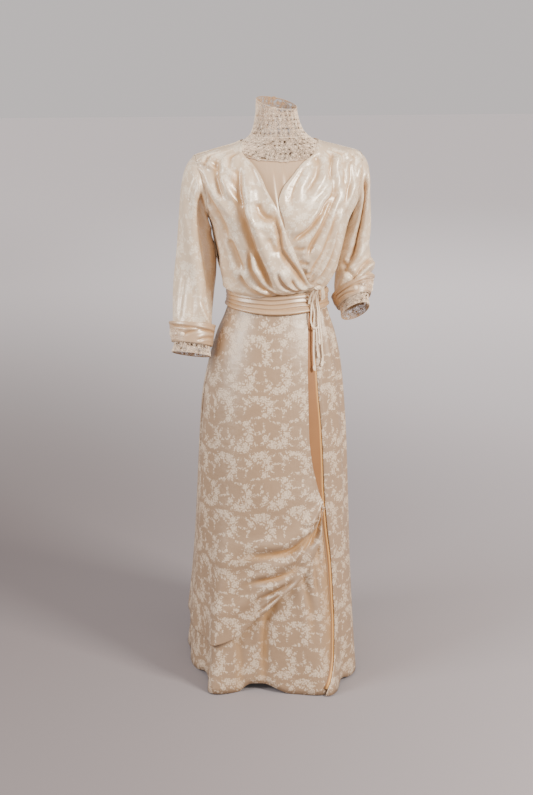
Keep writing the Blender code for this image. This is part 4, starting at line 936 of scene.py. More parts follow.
def make_fronts():
    """The two crossed fronts: broad folds from the shoulders, and creases drawn to the tie."""

    def front(rows, folds, creases, side, sag, out, free=None):
        def place(across, down):
            edge_turn = along(rows, "edge_turn", down)
            side_height = along(rows, "side_height", down)
            end_turn = side * (side_turn(side_height) - 0.3 * seam_inset(side_height))
            turn = mix(edge_turn, end_turn, across)
            turn = np.where(down < 1e-6, side * (90 - 0.25 * seam_inset(side_height)), turn)
            height = mix(along(rows, "edge_height", down), side_height, across)
            height = height - sag * ramp(0.8, 1.0, down) * np.sin(np.pi * across)
            spread = (turn - edge_turn) / np.minimum(-1, side * (edge_turn - side * 90)) * -side
            broad = mix(0.35, 1.0, ramp(0.0, 0.30, down)) * fold_height(folds, spread, down)
            held = ramp(0, 0.05, across) * (1 - ramp(0.94, 1.0, across)) * ramp(0, 0.06, down)
            fallen = crease_height(creases, turn, height, CHEST_RADIUS) * held
            folds_here = broad + fallen
            folds_here = folds_here - 0.0024 * (1 - ramp(0, 0.035, across)) * (1 - ramp(0.30, 0.45, down))
            if free is not None:
                shown = free(turn, down)
                folds_here = folds_here * shown - COVERED_DEPTH * (1 - shown) * ramp(0.15, 0.35, down)
            out_here = out(turn, across, down) + folds_here
            return on_figure(turn, height, out_here), grain(turn, height), fallen

        return place

    def right_out(turn, across, down):
        base = mix(BODICE_OUT, WRAP_OUT, ramp(-45, -22, turn) * ramp(0.10, 0.30, down))
        blouse = 0.016 * ramp(0.70, 0.93, down) - 0.0085 * ramp(0.93, 1.0, down)
        edge_roll = 0.0022 * bump(across, 0.030, 0.022) * ramp(0.15, 0.3, down)
        return base + blouse * (1 - ramp(0.93, 1.0, across)) + edge_roll

    def left_out(turn, across, down):
        edge_roll = 0.0022 * bump(across, 0.045, 0.035) * (1 - ramp(0.5, 0.6, down))
        return BODICE_OUT + 0.003 * bump(down, 0.82, 0.06) * ramp(0.5, 0.8, across) + edge_roll

    def left_free(turn, down):
        """The left front's folds are pressed flat where the right front crosses over it."""
        over = along(RIGHT_FRONT, "edge_turn", down)
        return ramp(0, 12, turn - over) * (1 - 0.7 * ramp(0.86, 0.94, down))

    right = front(RIGHT_FRONT, RIGHT_FRONT_FOLDS, RIGHT_FRONT_CREASES, -1, 0.018, right_out)
    left = front(LEFT_FRONT, LEFT_FRONT_FOLDS, LEFT_FRONT_CREASES, 1, 0.0, left_out, left_free)
    hang("bodice_right_front", (140, 142), right, "bodice_satin_painted_lighter",
         area=0.100)
    hang("bodice_left_front", (130, 140), face_out(left), "bodice_satin_painted_lighter",
         area=0.105)


def make_back():
    def place(across, down):
        height = smooth(np.linspace(0, 1, len(BACK_HEIGHTS)), np.array(BACK_HEIGHTS), down)
        turn = 180 + (side_turn(height) - 0.3 * seam_inset(height)) * (2 * across - 1)
        folds = 0.004 * bump(down, 0.82, 0.07) + fold_height(BACK_FOLDS, across, down)
        fallen = crease_height(BACK_CREASES, turn, height, CHEST_RADIUS)
        fallen = fallen * off_edges(0.05, across) * ramp(0, 0.06, down)
        out = BODICE_OUT + (folds + fallen) * (1 - ramp(0.84, 0.93, down))
        return on_figure(turn, height, out), grain(turn, height, 180.0), fallen

    hang("bodice_back", (110, 100), place, "bodice_satin_painted_lighter")


def make_chemisette():
    """The plain satin front in the neck of the crossed bodice, with a few stitched tucks."""

    def place(across, down):
        turn = CHEMISETTE_TURN * (2 * across - 1)
        tucks = 0
        for tuck in TUCK_TURNS:
            away = turn - tuck
            tucks = tucks + np.where(away > 0, bump(away, 0, 0.5), bump(away, 0, 1.9)) * 0.0013
        yoke_edge = read(YOKE_EDGE, "turn", "height", np.abs(turn))
        height = mix(yoke_edge + 0.005, CHEMISETTE_LOW, down)
        under_right, under_left = (
            side * (np.interp(-height, -column(rows, "edge_height"), column(rows, "edge_turn")) - turn)
            for side, rows in ((1, RIGHT_FRONT), (-1, LEFT_FRONT))
        )
        covered = ramp(0, 7, under_right) + ramp(0, 7, under_left)
        out = CHEMISETTE_OUT + tucks * ramp(0.05, 0.2, down) * (1 - ramp(0.55, 0.95, down))
        out = out - 1.8 * COVERED_DEPTH * np.clip(covered, 0, 1) * ramp(0.05, 0.25, down)
        # Painted shade along each tuck, and beside the fronts' edges, where they lie over the chemisette.
        tuck_and_edge_shade = sum(bump(turn - tuck, 0.7, 0.8) for tuck in TUCK_TURNS) * ramp(0.05, 0.2, down)
        beside = np.maximum(ramp(-5, 2, under_right), ramp(-5, 2, under_left))
        tuck_and_edge_shade = np.maximum(0.75 * tuck_and_edge_shade * (1 - ramp(0.6, 0.95, down)), 0.75 * beside)
        return on_figure(turn, height, out), grain(turn, height), -DEEP * tuck_and_edge_shade

    hang("chemisette", (160, 40), place, "plain_satin",
         wall=THIN_WALL)


def down_skirt(down, low):
    return mix(WAIST_HEIGHT - SEAM, low, down**1.4)


def skirt_out(level, waist_level, height):
    return mix(level, waist_level, ramp(WAIST_HEIGHT - 0.05, WAIST_HEIGHT - 0.006, height))


def upper_out(height, down):
    """How far out the skirts' upper layer lies: a little more at the waist, and below the hips."""
    return skirt_out(0, 0.0022, height) + 0.002 * ramp(0.2, 0.5, down)


def left_edge(name, height):
    return read(LEFT_EDGES, "height", name, height)


def make_skirts():
    def under(start):
        def place(across, down):
            turn = start + SIDE_GAP + (180 - 2 * SIDE_GAP) * across
            height = down_skirt(down, hem(turn))
            fallen = crease_height(UNDERSKIRT_CREASES, turn, height, HEM_RADIUS)
            # Painted shade beside the left panel, and a painted shadow just below the overskirt's hem edge.
            beside = ramp(14, 31, turn) * (1 - ramp(31, 36, turn))
            beside = beside * (1 - ramp(0.38, 0.46, height)) * ramp(0, 0.10, height)
            out = skirt_out(UNDERSKIRT_OUT, -0.0015, height) + fallen
            above = read(SWEEP, "turn", "hem_height", turn) - height
            shadow_below_edge = 0.42 * (1 - ramp(0, 0.038, above)) * ramp(-60, -20, turn)
            painted_tone = np.maximum(0.6 * beside, shadow_below_edge)
            middle = 180.0 if start > 0 else 0.0
            return on_skirt(turn, height, out), grain(turn, height, middle), 0.45 * fallen - DEEP * painted_tone

        return place

    hang("underskirt_front", (150, 100), under(-90.0), "figured_satin",
         area=0.52)
    hang("underskirt_back", (110, 60), under(90.0), "figured_satin",
         area=0.59)

    def placket(across, down):
        height = down_skirt(down, 0.012)
        turn = mix(left_edge("placket", height), left_edge("panel", height) + 5, across)
        below = 1 - ramp(0.40, 0.50, height)
        level = mix(PLACKET_OUT + 0.0008, UNDERSKIRT_OUT + 0.0014, below * (1 - ramp(0.05, 0.42, across)))
        out = skirt_out(level, 0.0002, height)
        # Painted light: duller towards the strip's left edge below the knot, and a painted golden glow
        # towards and under the panel's edge.
        golden = np.maximum(ramp(0.0, 0.36, across), 1 - below)
        shown = (left_edge("panel", height) - turn) / 2.2
        painted_tone = 0.5 * (golden + 1 - ramp(0, 1, shown))
        return on_skirt(turn, height, out), grain(turn, height), -DEEP * painted_tone

    hang("placket", (16, 90), placket, "placket", wall=THIN_WALL)

    def overskirt_front(across, down):
        """Rows sweep down from the knot; the caught folds follow them."""
        spread = 1 - (1 - across) ** 1.5
        caught = np.clip(down / CAUGHT_SHARE, 0, 1)
        edge_height = np.where(
            down < CAUGHT_SHARE,
            mix(WAIST_HEIGHT - SEAM, SWEEP[-1].fold_height, caught),
            mix(SWEEP[-1].fold_height, SWEEP[-1].hem_height, (down - CAUGHT_SHARE) / (1 - CAUGHT_SHARE)),
        )
        turn = mix(RIGHT_SEAM_TURN + SIDE_GAP, left_edge("overskirt", edge_height), spread)
        at_knot = ramp(0.985, 1, spread)
        fold_line = mix(read(SWEEP, "turn", "fold_height", turn), SWEEP[-1].fold_height, at_knot)
        low = mix(read(SWEEP, "turn", "hem_height", turn), SWEEP[-1].hem_height, at_knot)
        below = np.clip((down - CAUGHT_SHARE) / (1 - CAUGHT_SHARE), 0, 1)
        height = np.where(
            down < CAUGHT_SHARE,
            mix(WAIST_HEIGHT - SEAM, fold_line, caught),
            mix(fold_line, low, below),
        )
        swag = fold_height(SWAG_FOLDS, down, across) * (1 - 0.55 * ramp(0.93, 1, across))
        fallen = crease_height(OVERSKIRT_CREASES, turn, height, KNEE_RADIUS, start=0.03, pinch=0.45)
        fallen = fallen * (1 - ramp(0.985, 1, across))
        out = upper_out(height, down) + swag + fallen
        return on_skirt(turn, height, out), grain(turn, height), fallen

    hang("overskirt_front", (120, 150), overskirt_front, "figured_satin",
         area=0.33)

    def overskirt_back(across, down):
        turn = mix(LEFT_SEAM_TURN + SIDE_GAP, 360 + RIGHT_SEAM_TURN - SIDE_GAP, across)
        height = down_skirt(down, mix(BACK_HEM_LEFT, BACK_HEM_RIGHT, across))
        folds = fold_height(BACK_SKIRT_FOLDS, across, down) * ramp(0.05, 0.12, down)
        fallen = crease_height(BACK_SKIRT_CREASES, turn, height, HIP_RADIUS)
        fallen = fallen * ramp(0.02, 0.08, down) * ramp(0, 0.05, 1 - down)
        out = upper_out(height, down) + folds + fallen
        return on_skirt(turn, height, out), grain(turn, height, 180.0), fallen

    hang("overskirt_back", (130, 100), overskirt_back, "figured_satin",
         area=0.53)

    def left_panel(across, down):
        low = hem(mix(24.0, LEFT_SEAM_TURN, across))
        height = down_skirt(down, low)
        turn = mix(left_edge("panel", height), LEFT_SEAM_TURN - SIDE_GAP, across)
        folds = fold_height(PANEL_FOLDS, across, down) * ramp(0.04, 0.12, down)
        edge = 0.0046 * (1 - ramp(0, 0.075, across)) * ramp(0.04, 0.12, down)
        return on_skirt(turn, height, upper_out(height, down) + folds - edge), grain(turn, height)

    hang("left_panel", (70, 130), left_panel, "figured_satin",
         area=0.19)


def make_sash():
    """A wide strip pleated round the waist, each pleat lapping over the next below."""

    def place(across, down):
        turn = mix(-179.85, 179.85, across)
        dip = SASH_DIP * bump(turn, -5, 50)
        waver = sum(reach * np.sin(np.radians(turn * waves + start)) for reach, waves, start in SASH_WAVER)
        height = mix(SASH_TOP - 0.35 * dip, SASH_LOW - dip, down)
        phase = down * SASH_PLEATS + 0.28 * waver * np.sin(np.pi * down)
        lap = phase % 1
        out = SASH_OUT - 0.0012 + SASH_PLEAT_OUT * lap**0.8 * (1 - ramp(0.86, 1.0, lap))
        out = out - (SASH_OUT - BODICE_OUT - 0.0004) * (1 - ramp(0, 0.09, down))
        # Painted shade in the gaps between the pleats, uneven round the waist.
        gap = bump(lap, 0.0, 0.50) + bump(lap, 1.0, 0.20)
        uneven = 0.75 + 0.25 * np.sin(np.radians(turn * 3.7))
        return on_figure(turn, height, out), flat_cut(across * 0.75, down * 0.10), -DEEP * gap * uneven

    hang("sash", (220, 40), place, "plain_satin",
         wall=THIN_WALL)


def arm_ring(arm, side, across, down, out):
    """A point round an arm: across 0 is its outer side, 0.25 its front and 0.5 its inner side."""
    outer_x, outer_z, inner_x, inner_z, back, deep, pitch = (
        along(arm, name, down) for name in Ring._fields
    )
    angle = 2 * np.pi * across
    outer = np.stack([side * outer_x, back, outer_z], -1)
    inner = np.stack([side * inner_x, back, inner_z], -1)
    middle, half = (outer + inner) / 2, (outer - inner) / 2
    wide = np.linalg.norm(half, axis=-1, keepdims=True)
    tilt = np.radians(pitch)
    ahead = np.stack([0 * tilt, -np.cos(tilt), np.sin(tilt)], -1)
    deep, c, s = deep[..., None], np.cos(angle)[..., None], np.sin(angle)[..., None]
    normal = unit(half / wide * c * deep + ahead * s * wide)
    return middle + half * c + ahead * deep * s + normal * np.asarray(out)[..., None]


def armhole_ring(arm, side, across):
    """The line just outside the bodice's armhole edge, which the sleeve's head is sewn to."""
    angle = 2 * np.pi * across
    top, low = arm[0].outer_height, arm[0].inner_height
    height = (top + low) / 2 + (top - low) / 2 * np.cos(angle)
    turn = np.clip(side_turn(height), 0, 90)
    turn = side * np.where(np.sin(angle) >= 0, turn, 180 - turn)
    line = on_bare(turn, height, BODICE_OUT)
    line[:, 0] += side * 2 * SEAM
    return line


def round_arm(across):
    """The seam, a small gap, runs down the inner side of the arm."""
    gap = 0.0012
    return 0.5 + gap + (1 - 2 * gap) * across


def cuff_point(arm, side, turn, down, out):
    """A point over the turned-back cuff, at a share down it."""
    share = mix(CUFF_TOP, SLEEVE_END - 0.004, down)
    flare = mix(CUFF_FLARE, 0.0024, down) + out
    return lean(arm_ring(arm, side, turn, share, flare))


def arm_creases(creases, turn, share, length):
    """Creases round an arm; each is drawn once more a turn on, so that it may cross the seam."""
    around = [
        crease._replace(path=tuple((at + shift, -down * length) for at, down in crease.path))
        for crease in creases
        for shift in (0, 360)
    ]
    return crease_height(around, 360 * turn, -share * length, ARM_RADIUS)


def cuff_folds(turn, down):
    return arm_creases(CUFF_CREASES, turn, down, CUFF_LENGTH) * ramp(0, 0.1, 1 - down)


def make_sleeve(word, side, arm, folds, creases):
    def sleeve(across, down):
        turn = round_arm(across)
        share = SLEEVE_END * down
        wave = fold_height(folds, turn % 1, share) + fold_height(folds, turn % 1 + 1, share)
        wave = wave * (1 - ramp(0.80, 0.88, down))
        above_cuff = 1 - ramp(CUFF_TOP - 0.015, CUFF_TOP + 0.025, share)
        fallen = arm_creases(creases, turn, share, ARM_LENGTH) * above_cuff
        out = (wave + fallen) * ramp(0, 0.12, down) * off_edges(0.03, across)
        inner = bump(turn, 0.5, 0.13) + bump(turn, 1.5, 0.13)
        out = out + ARM_FULL * inner * (bump(share, 0.23, 0.12) + 0.2 * bump(share, 0.45, 0.10))
        shape = lean(arm_ring(arm, side, turn, share, out))
        sewn = lean(armhole_ring(arm, side, turn))
        cloth = mix(sewn, shape, ramp(0, 0.10, down)[:, None])
        # The third value paints shade into the creases, held lighter than on the bodice.
        return cloth, flat_cut(across * 0.32, down * 0.44), np.maximum(0.5 * fallen, -0.62 * DEEP)

    turned = face_out if side > 0 else (lambda place: place)
    hang(f"sleeve_{word}", (118, 116), turned(sleeve), "bodice_satin_painted_lighter",
         area=SLEEVE_AREAS[word])

    def cuff(across, down):
        turn = round_arm(across)
        fallen = cuff_folds(turn, down)
        out = (fallen + 0.0012 * bump(down, 0.04, 0.05)) * off_edges(0.03, across)
        # The third value paints shade into the cuff's creases, doubled.
        return cuff_point(arm, side, turn, down, out), flat_cut(across * 0.30, down * 0.07), fallen * 2

    hang(f"cuff_{word}", (130, 36), turned(cuff), "plain_satin",
         area=0.016)


# A thread's section: flat side, top, flat side, as shares of its width and height.
SECTION = ((0.5, 0.0), (0.0, 1.0), (-0.5, 0.0), (0.5, 0.0))


def thread(bm, steps):
    """Points of a thread with so many steps, each with its place in the section and along it."""
    made = bmesh.ops.create_grid(bm, x_segments=3, y_segments=steps, size=0.5)["verts"]
    return [(v, round((v.co.x + 0.5) * 3), round((v.co.y + 0.5) * steps)) for v in made]


def strand(bm, line, width, high, closed=True):
    """A thread along a line in millimetres; its flat side is the lace's wrong side."""
    line = np.array(line, float)
    run = np.roll(line, -1, 0) - np.roll(line, 1, 0)
    if closed:
        line, run = np.vstack([line, line[:1]]), np.vstack([run, run[:1]])
    else:
        run[0], run[-1] = line[1] - line[0], line[-1] - line[-2]
    run = unit(run)
    steps = len(line) - 1
    for vertex, place, k in thread(bm, steps):
        aside, rise = SECTION[place]
        thin = 1.0 if closed or 0 < k < steps else 0.0
        aside *= width * thin
        vertex.co = (line[k, 0] - run[k, 1] * aside, line[k, 1] + run[k, 0] * aside, rise * high * thin)


def ring(radius, count, middle=(0.0, 0.0), wave=0.0, lobes=0, wide=1.0, angle=0.0):
    """Points round an oval, its long side turned by angle, with its edge waved into lobes."""
    around = 2 * np.pi * np.arange(count) / count
    reach = radius + wave * np.cos(lobes * around)
    x, y = reach * np.cos(around) * wide, reach * np.sin(around)
    return np.stack([middle[0] + x * math.cos(angle) - y * math.sin(angle),
                     middle[1] + x * math.sin(angle) + y * math.cos(angle)], -1)


def dome(bm, radius, high, sides=8):
    made = bmesh.ops.create_uvsphere(bm, u_segments=sides, v_segments=4, radius=1)
    for vertex in made["verts"]:
        vertex.co = (vertex.co.x * radius, vertex.co.y * radius, max(vertex.co.z, -0.1) * high)


def crochet_flower(bm):
    dome(bm, 1.35, 1.5, 6)
    for k in range(6):
        angle = math.radians(60 * k)
        middle = (3.25 * math.cos(angle), 3.25 * math.sin(angle))
        strand(bm, ring(1.45, 7, middle, wide=1.25, angle=angle), 1.25, 1.1)


def crochet_rosette(bm):
    dome(bm, 1.9, 1.7)
    strand(bm, ring(2.6, 9), 1.3, 1.2)
    strand(bm, ring(4.3, 21, wave=0.65, lobes=7), 1.3, 1.0)


def crochet_wheel(bm):
    dome(bm, 0.9, 1.1, 5)
    strand(bm, ring(4.5, 12), 1.3, 1.1)
    strand(bm, ring(2.3, 8), 1.1, 0.8)
    for k in range(6):
        angle = math.radians(60 * k + 15)
        spoke = [(math.cos(angle) * reach, math.sin(angle) * reach) for reach in (0.6, 1.1, 3.9, 4.4)]
        strand(bm, spoke, 0.8, 0.7, closed=False)


def crochet_knot(bm):
    strand(bm, ring(1.2, 5), 1.2, 0.9)


def crochet_shapes():
    """The four crochet shapes: each one's points in metres, and the mesh that is copied for it."""
    shapes = []
    for draw in (crochet_flower, crochet_rosette, crochet_wheel, crochet_knot):
        bm = bmesh.new()
        draw(bm)
        bmesh.ops.remove_doubles(bm, verts=bm.verts, dist=0.001)
        bmesh.ops.recalc_face_normals(bm, faces=bm.faces)
        pattern = smooth_mesh(bm, draw.__name__)
        shapes.append((np.array([v.co for v in pattern.vertices]) / 1000, pattern))
    return shapes


FLOWER, ROSETTE, WHEEL, KNOT_RING = range(4)
SHAPES = crochet_shapes()
Spot = namedtuple("Spot", "a b shape scale")
# A cord lies along a line of places a and b on a surface.
Cord = namedtuple("Cord", "a b width high")
CORD_HIGH = 0.0006  # below this height a thread's colour is painted darker as shade, down to its flat side; above it the thread keeps its ridge colour


def stretch(surface, a, b, along_a, along_b):
    """How many metres a place on a surface moves for each 1 that a or b changes by."""
    near = 1e-3
    after = surface(a + near * along_a, b + near * along_b, 0 * a)
    before = surface(a - near * along_a, b - near * along_b, 0 * a)
    return np.linalg.norm(after - before, axis=-1) / (2 * near)


def lay_cord(bm, surface, cord, mirrored):
    """Lays a cord on a surface, and returns each point's share of painted shade: full on the flat side,
    none on the top.
    """
    a, b = np.broadcast_arrays(cord.a, cord.b)
    per_b = stretch(surface, a, b, 0, 1)
    section = SECTION if mirrored else SECTION[::-1]
    lines = [
        to_frame(surface(a, b + aside * cord.width / per_b, rise * cord.high + 0 * a))
        for aside, rise in section
    ]
    cord_shade, laid = {}, {}
    for vertex, place, k in thread(bm, len(a) - 1):
        vertex.co = lines[place][k]
        cord_shade[vertex] = 1 - section[place][1]
        laid[place, k] = vertex
    bmesh.ops.weld_verts(bm, targetmap={laid[3, k]: laid[0, k] for k in range(len(a))})
    return cord_shade


def crochet(name, nodes, surface, spots, cords, chance, mirrored=False, **sheet):
    """Lace: cords along a piece's edges, and crochet shapes laid on it at spots, in one mesh.

    surface(a, b, out) gives points; a runs round the piece and b down it.
    """
    bm = bmesh.new()
    points, painted_shading = [], []
    hand = -1 if mirrored else 1
    for shape, (local, pattern) in enumerate(SHAPES):
        here = [s for s in spots if s.shape == shape]
        if not here:
            continue
        a, b = np.array([s.a for s in here], float), np.array([s.b for s in here], float)
        size = np.array([s.scale for s in here]) * chance.uniform(0.90, 1.10, len(here))
        angle = chance.uniform(0, 2 * np.pi, len(here))
        per_a, per_b = stretch(surface, a, b, 1, 0), stretch(surface, a, b, 0, 1)
        x, y, out = (size[:, None] * local[None, :, k] for k in range(3))
        c, s = np.cos(angle)[:, None], np.sin(angle)[:, None]
        at_a = a[:, None] + hand * (x * c - y * s) / per_a[:, None]
        at_b = b[:, None] - (x * s + y * c) / per_b[:, None]
        points.append(surface(at_a.ravel(), at_b.ravel(), out.ravel()))
        # Painted shade on each shape's lower sides and flat side.
        painted_shading.append(1 - np.clip(out.ravel() / CORD_HIGH, 0, 1))
        for _ in here:
            bm.from_mesh(pattern)
    placed = to_frame(np.concatenate(points))
    cord_shade = {}
    for cord in cords:
        cord_shade.update(lay_cord(bm, surface, cord, mirrored))
    painted_shading.append([cord_shade[vertex] for vertex in list(bm.verts)[len(placed):]])
    mesh = smooth_mesh(bm, name + "_cloth")
    spread = np.empty((len(mesh.vertices), 3), np.float32)
    mesh.vertices.foreach_get("co", spread.ravel())
    spread[:len(placed)] = placed
    mesh.vertices.foreach_set("co", spread.ravel())
    shade(mesh, np.concatenate(painted_shading))
    mesh.update()
    obj = settle(mesh, "lace", nodes)


LACE_PITCH = 0.0114  # between the shapes of a row
LACE_ROW = 0.0100  # between two rows


def lace_spots(chance, surface, around, rows, inside):
    """Staggered rows of flowers, rosettes and wheels, with small rings in the gaps between them.

    around is a loop of places round the piece, and a row is its place down it and the way to the next.
    """
    spots = []
    for b, up in rows:
        length = travelled(surface(around, 0 * around + b, 0 * around))
        count = max(1, round(length[-1] / LACE_PITCH))
        place = (np.arange(count) + chance.uniform() + chance.uniform(-0.15, 0.15, count)) / count
        main, between = (
            np.interp((place + more) % 1, length / length[-1], around) for more in (0, 0.5 / count)
        )
        for a, beside in zip(main, between):
            shape = (FLOWER, FLOWER, ROSETTE, WHEEL)[chance.integers(4)]
            if inside(a, b, 1.0):
                spots.append(Spot(a, b + chance.uniform(-0.16, 0.16) * up, shape, 1.16))
            if inside(a, b + 0.6 * up, 0.3):
                spots.append(Spot(a, b + 0.60 * up, KNOT_RING, 1.0))
            if inside(beside, b + 0.12 * up, 0.3):
                spots.append(Spot(beside, b + 0.12 * up, KNOT_RING, 0.85))
    return spots


def make_collar():
    chance = np.random.default_rng(11)

    def top(turn):
        angle = np.radians(turn)
        return COLLAR_TOP - COLLAR_TILT_BACK * np.cos(angle) - COLLAR_TILT_SIDE * np.sin(angle)

    def surface(turn, height, out):
        return on_figure(turn, height, LACE_OUT + out)

    rows = [(COLLAR_BASE + 0.0048 + LACE_ROW * k, LACE_ROW) for k in range(9)]
    around = np.linspace(-180, 180, 181)
    cords = [
        Cord(around, top(around) - 0.0006, 0.0016, 0.0014),
        Cord(around, top(around) - 0.0026 + 0.0005 * np.sin(np.radians(around * 45)), 0.0012, 0.0010),
        Cord(around, COLLAR_BASE + 0.0006, 0.0016, 0.0016),
    ]

    def inside(a, b, size):
        return b < top(a) - 0.0012 - 0.0028 * size

    spots = lace_spots(chance, surface, around, rows, inside)
    crochet("collar", ["collar_front", "collar_back"], surface, spots, cords, chance, mirrored=True,
            flat=(0.40, 0.105), held="stretched", rests_on=["yoke_cloth"])


def make_yoke():
    chance = np.random.default_rng(12)
    turns_apart = 2
    turns = np.arange(-180, 181, turns_apart)
    heights = np.linspace(COLLAR_BASE, 1.284, 130)
    fall = travelled(on_figure(turns[:, None], heights[None, :], YOKE_OUT))
    reach = np.linspace(0, 0.080, 81)
    lower = np.array([np.interp(reach, row, heights) for row in fall])

    def down(turn, along_it):
        """The height at a distance down the yoke from the collar's seam."""
        return lookup(lower, (turn + 180) % 360 / turns_apart, along_it / reach[1])

    def surface(turn, along_it, out):
        return on_figure(turn, down(turn, along_it), LACE_OUT + out)

    front = np.abs((turns + 180) % 360 - 180) <= 90
    edge_height = np.where(front, read(YOKE_EDGE, "turn", "height", np.abs(turns)), YOKE_BACK_HEIGHT)
    edge = np.array([np.interp(-h, -heights, row) for h, row in zip(edge_height, fall)])

    def inside(a, b, size):
        return b + 0.0040 * size < np.interp((a + 180) % 360 - 180, turns, edge)

    rows = [(0.0050 + LACE_ROW * k, LACE_ROW) for k in range(8)]
    cords = [
        Cord(turns, 0.0008, 0.0016, 0.0013),
        Cord(turns, edge - 0.0006, 0.0016, 0.0013),
        Cord(turns, edge - 0.0028 + 0.0006 * np.sin(np.radians(turns * 45)), 0.0012, 0.0010),
    ]
    spots = lace_spots(chance, surface, turns, rows, inside)
    crochet("yoke", ["yoke_front", "yoke_back"], surface, spots, cords, chance, mirrored=False,
            flat=(0.52, 0.075), held="laid", rests_on=["chemisette_cloth"])


def make_lace_cuff(word, side, arm):
    chance = np.random.default_rng(21 if side < 0 else 22)

    def surface(around, share, out):
        base = mix(-0.0024, 0.001, ramp(LACE_TOP + 0.45 * (1 - LACE_TOP), 1.0, share))
        return lean(arm_ring(arm, side, around, np.clip(share, 0, 1), base - 0.0010 + out))

    rim = np.linspace(0, 1, 121)
    low, high = (surface(rim, 0 * rim + share, 0 * rim) for share in (1.0, 0.9))
    tall = float((np.linalg.norm(low - high, axis=-1) / 0.1).mean())
    rows = [(1 - 0.0052 / tall - LACE_ROW / tall * k, -LACE_ROW / tall) for k in range(5)]
    spots = lace_spots(chance, surface, rim, rows, lambda a, b, size: LACE_TOP < b < 1.0)
    scallops = (0.0006 * np.sin(2 * np.pi * 45 * rim) - 0.0022) / tall
    cords = [
        Cord(rim, 1 - 0.0005 / tall, 0.0018, 0.0016),
        Cord(rim, 1 + scallops, 0.0011, 0.0010),
    ]
    crochet(f"lace_cuff_{word}", [f"lace_cuff_{word}"], surface, spots, cords, chance, mirrored=side > 0,
            flat=(0.26, 0.058), held="laid", rests_on=[f"cuff_{word}_cloth"])


def make_trim(word, side, arm, trim):
    """A crochet strip of three rosettes on the turned-back cuff, and a button at each end of it."""
    chance = np.random.default_rng(31 if side < 0 else 32)

    def surface(around, share, out):
        above_cuff = CUFF_CLEAR + np.maximum(cuff_folds(around, share), 0)
        return cuff_point(arm, side, around, share, above_cuff + out)

    start, end = trim.across - trim.half_across, trim.across + trim.half_across
    middle = (trim.top + trim.low) / 2
    spots = []
    for k in range(ROSETTES):
        at = mix(start, end, (k + 0.5) / ROSETTES)
        spots.append(Spot(at, middle, ROSETTE, 1.75))
        small = (FLOWER, WHEEL)[k % 2]
        for aside, share in TRIM_CORNERS:
            place = at + aside * (end - start) / ROSETTES
            spots.append(Spot(place, mix(trim.top, trim.low, share), small, 0.62))
        for aside in (-0.5, 0.5):
            spots.append(Spot(at + aside * (end - start) / ROSETTES, middle, FLOWER, 0.55))
    line = np.linspace(start, end, 40)
    cords = [Cord(line, share, 0.0013, 0.0012) for share in (trim.top, trim.low)]
    crochet(f"cuff_trim_{word}", [f"cuff_trim_{word}"], surface, spots, cords, chance, mirrored=side > 0,
            flat=(0.065, 0.040), held="laid", rests_on=[f"cuff_{word}_cloth"])

    for number, way in enumerate((-1, 1), 1):
        around = trim.across + way * (trim.half_across + 0.028)
        spot, round_it, down_it = cuff_point(
            arm, side, np.array([around, around + 0.01, around]), np.array([0.62, 0.62, 0.72]), 0.0
        )
        square = unit(side * np.cross(round_it - spot, down_it - spot))
        make_button(f"cuff_button_{word}_{number}", spot, square)


def make_button(name, spot, square):
    """A button covered in crochet: ribs from its middle cross rings of stitches."""
    bm = bmesh.new()
    bmesh.ops.create_uvsphere(bm, u_segments=32, v_segments=14, radius=1)
    side = Vector(np.cross(square, (0, 0, 1))).normalized()
    up = Vector(square).cross(side)
    middle = Vector(to_frame(spot + square * (2 * SEAM)))
    for vertex in bm.verts:
        x, y, z = vertex.co
        reach = math.hypot(x, y)
        ribs = 1 + 0.05 * math.cos(12 * math.atan2(y, x)) * reach + 0.03 * math.cos(reach * 18)
        shape = side * x + up * y + Vector(square) * (0.74 * max(z, 0))
        vertex.co = middle + BUTTON_RADIUS * ribs * shape
    settle(smooth_mesh(bm, name + "_made"), "lace", [name])


def ribbon(points, fold_at):
    """A narrow strip folded along its middle, laid along a line of points; fold_at moves the fold."""

    def centre(at):
        turn, height, out, _ = (along(points, field, at) for field in Point._fields)
        return on_skirt(turn, height, out)

    def place(across, down):
        turn, height, _, half_width = (along(points, field, down) for field in Point._fields)
        run = unit(centre(down + 0.004) - centre(down - 0.004))
        square = outward(turn, height)
        square = unit(square - run * (square * run).sum(1, keepdims=True))
        beside = np.cross(run, square)
        angle = 2 * np.pi * across
        thick = np.maximum(RIBBON_THICK / 2, 0.75 * (half_width - 0.0035))
        end = 1 - 0.85 * ramp(0.985, 1.0, down)
        aside, ahead = np.cos(angle), np.sin(angle)
        valley = bump(aside, fold_at - 0.25 * np.sin(7 * down), 0.32) * (ahead > 0)
        rim = 1 + 0.10 * np.sin(23 * down) * aside
        w = (half_width * aside * rim * end)[:, None]
        t = (thick * ahead * (1 - 0.85 * valley) * end)[:, None]
        return centre(down) + beside * w + square * t, flat_cut(across * 4 * half_width, down * 0.2)

    return place


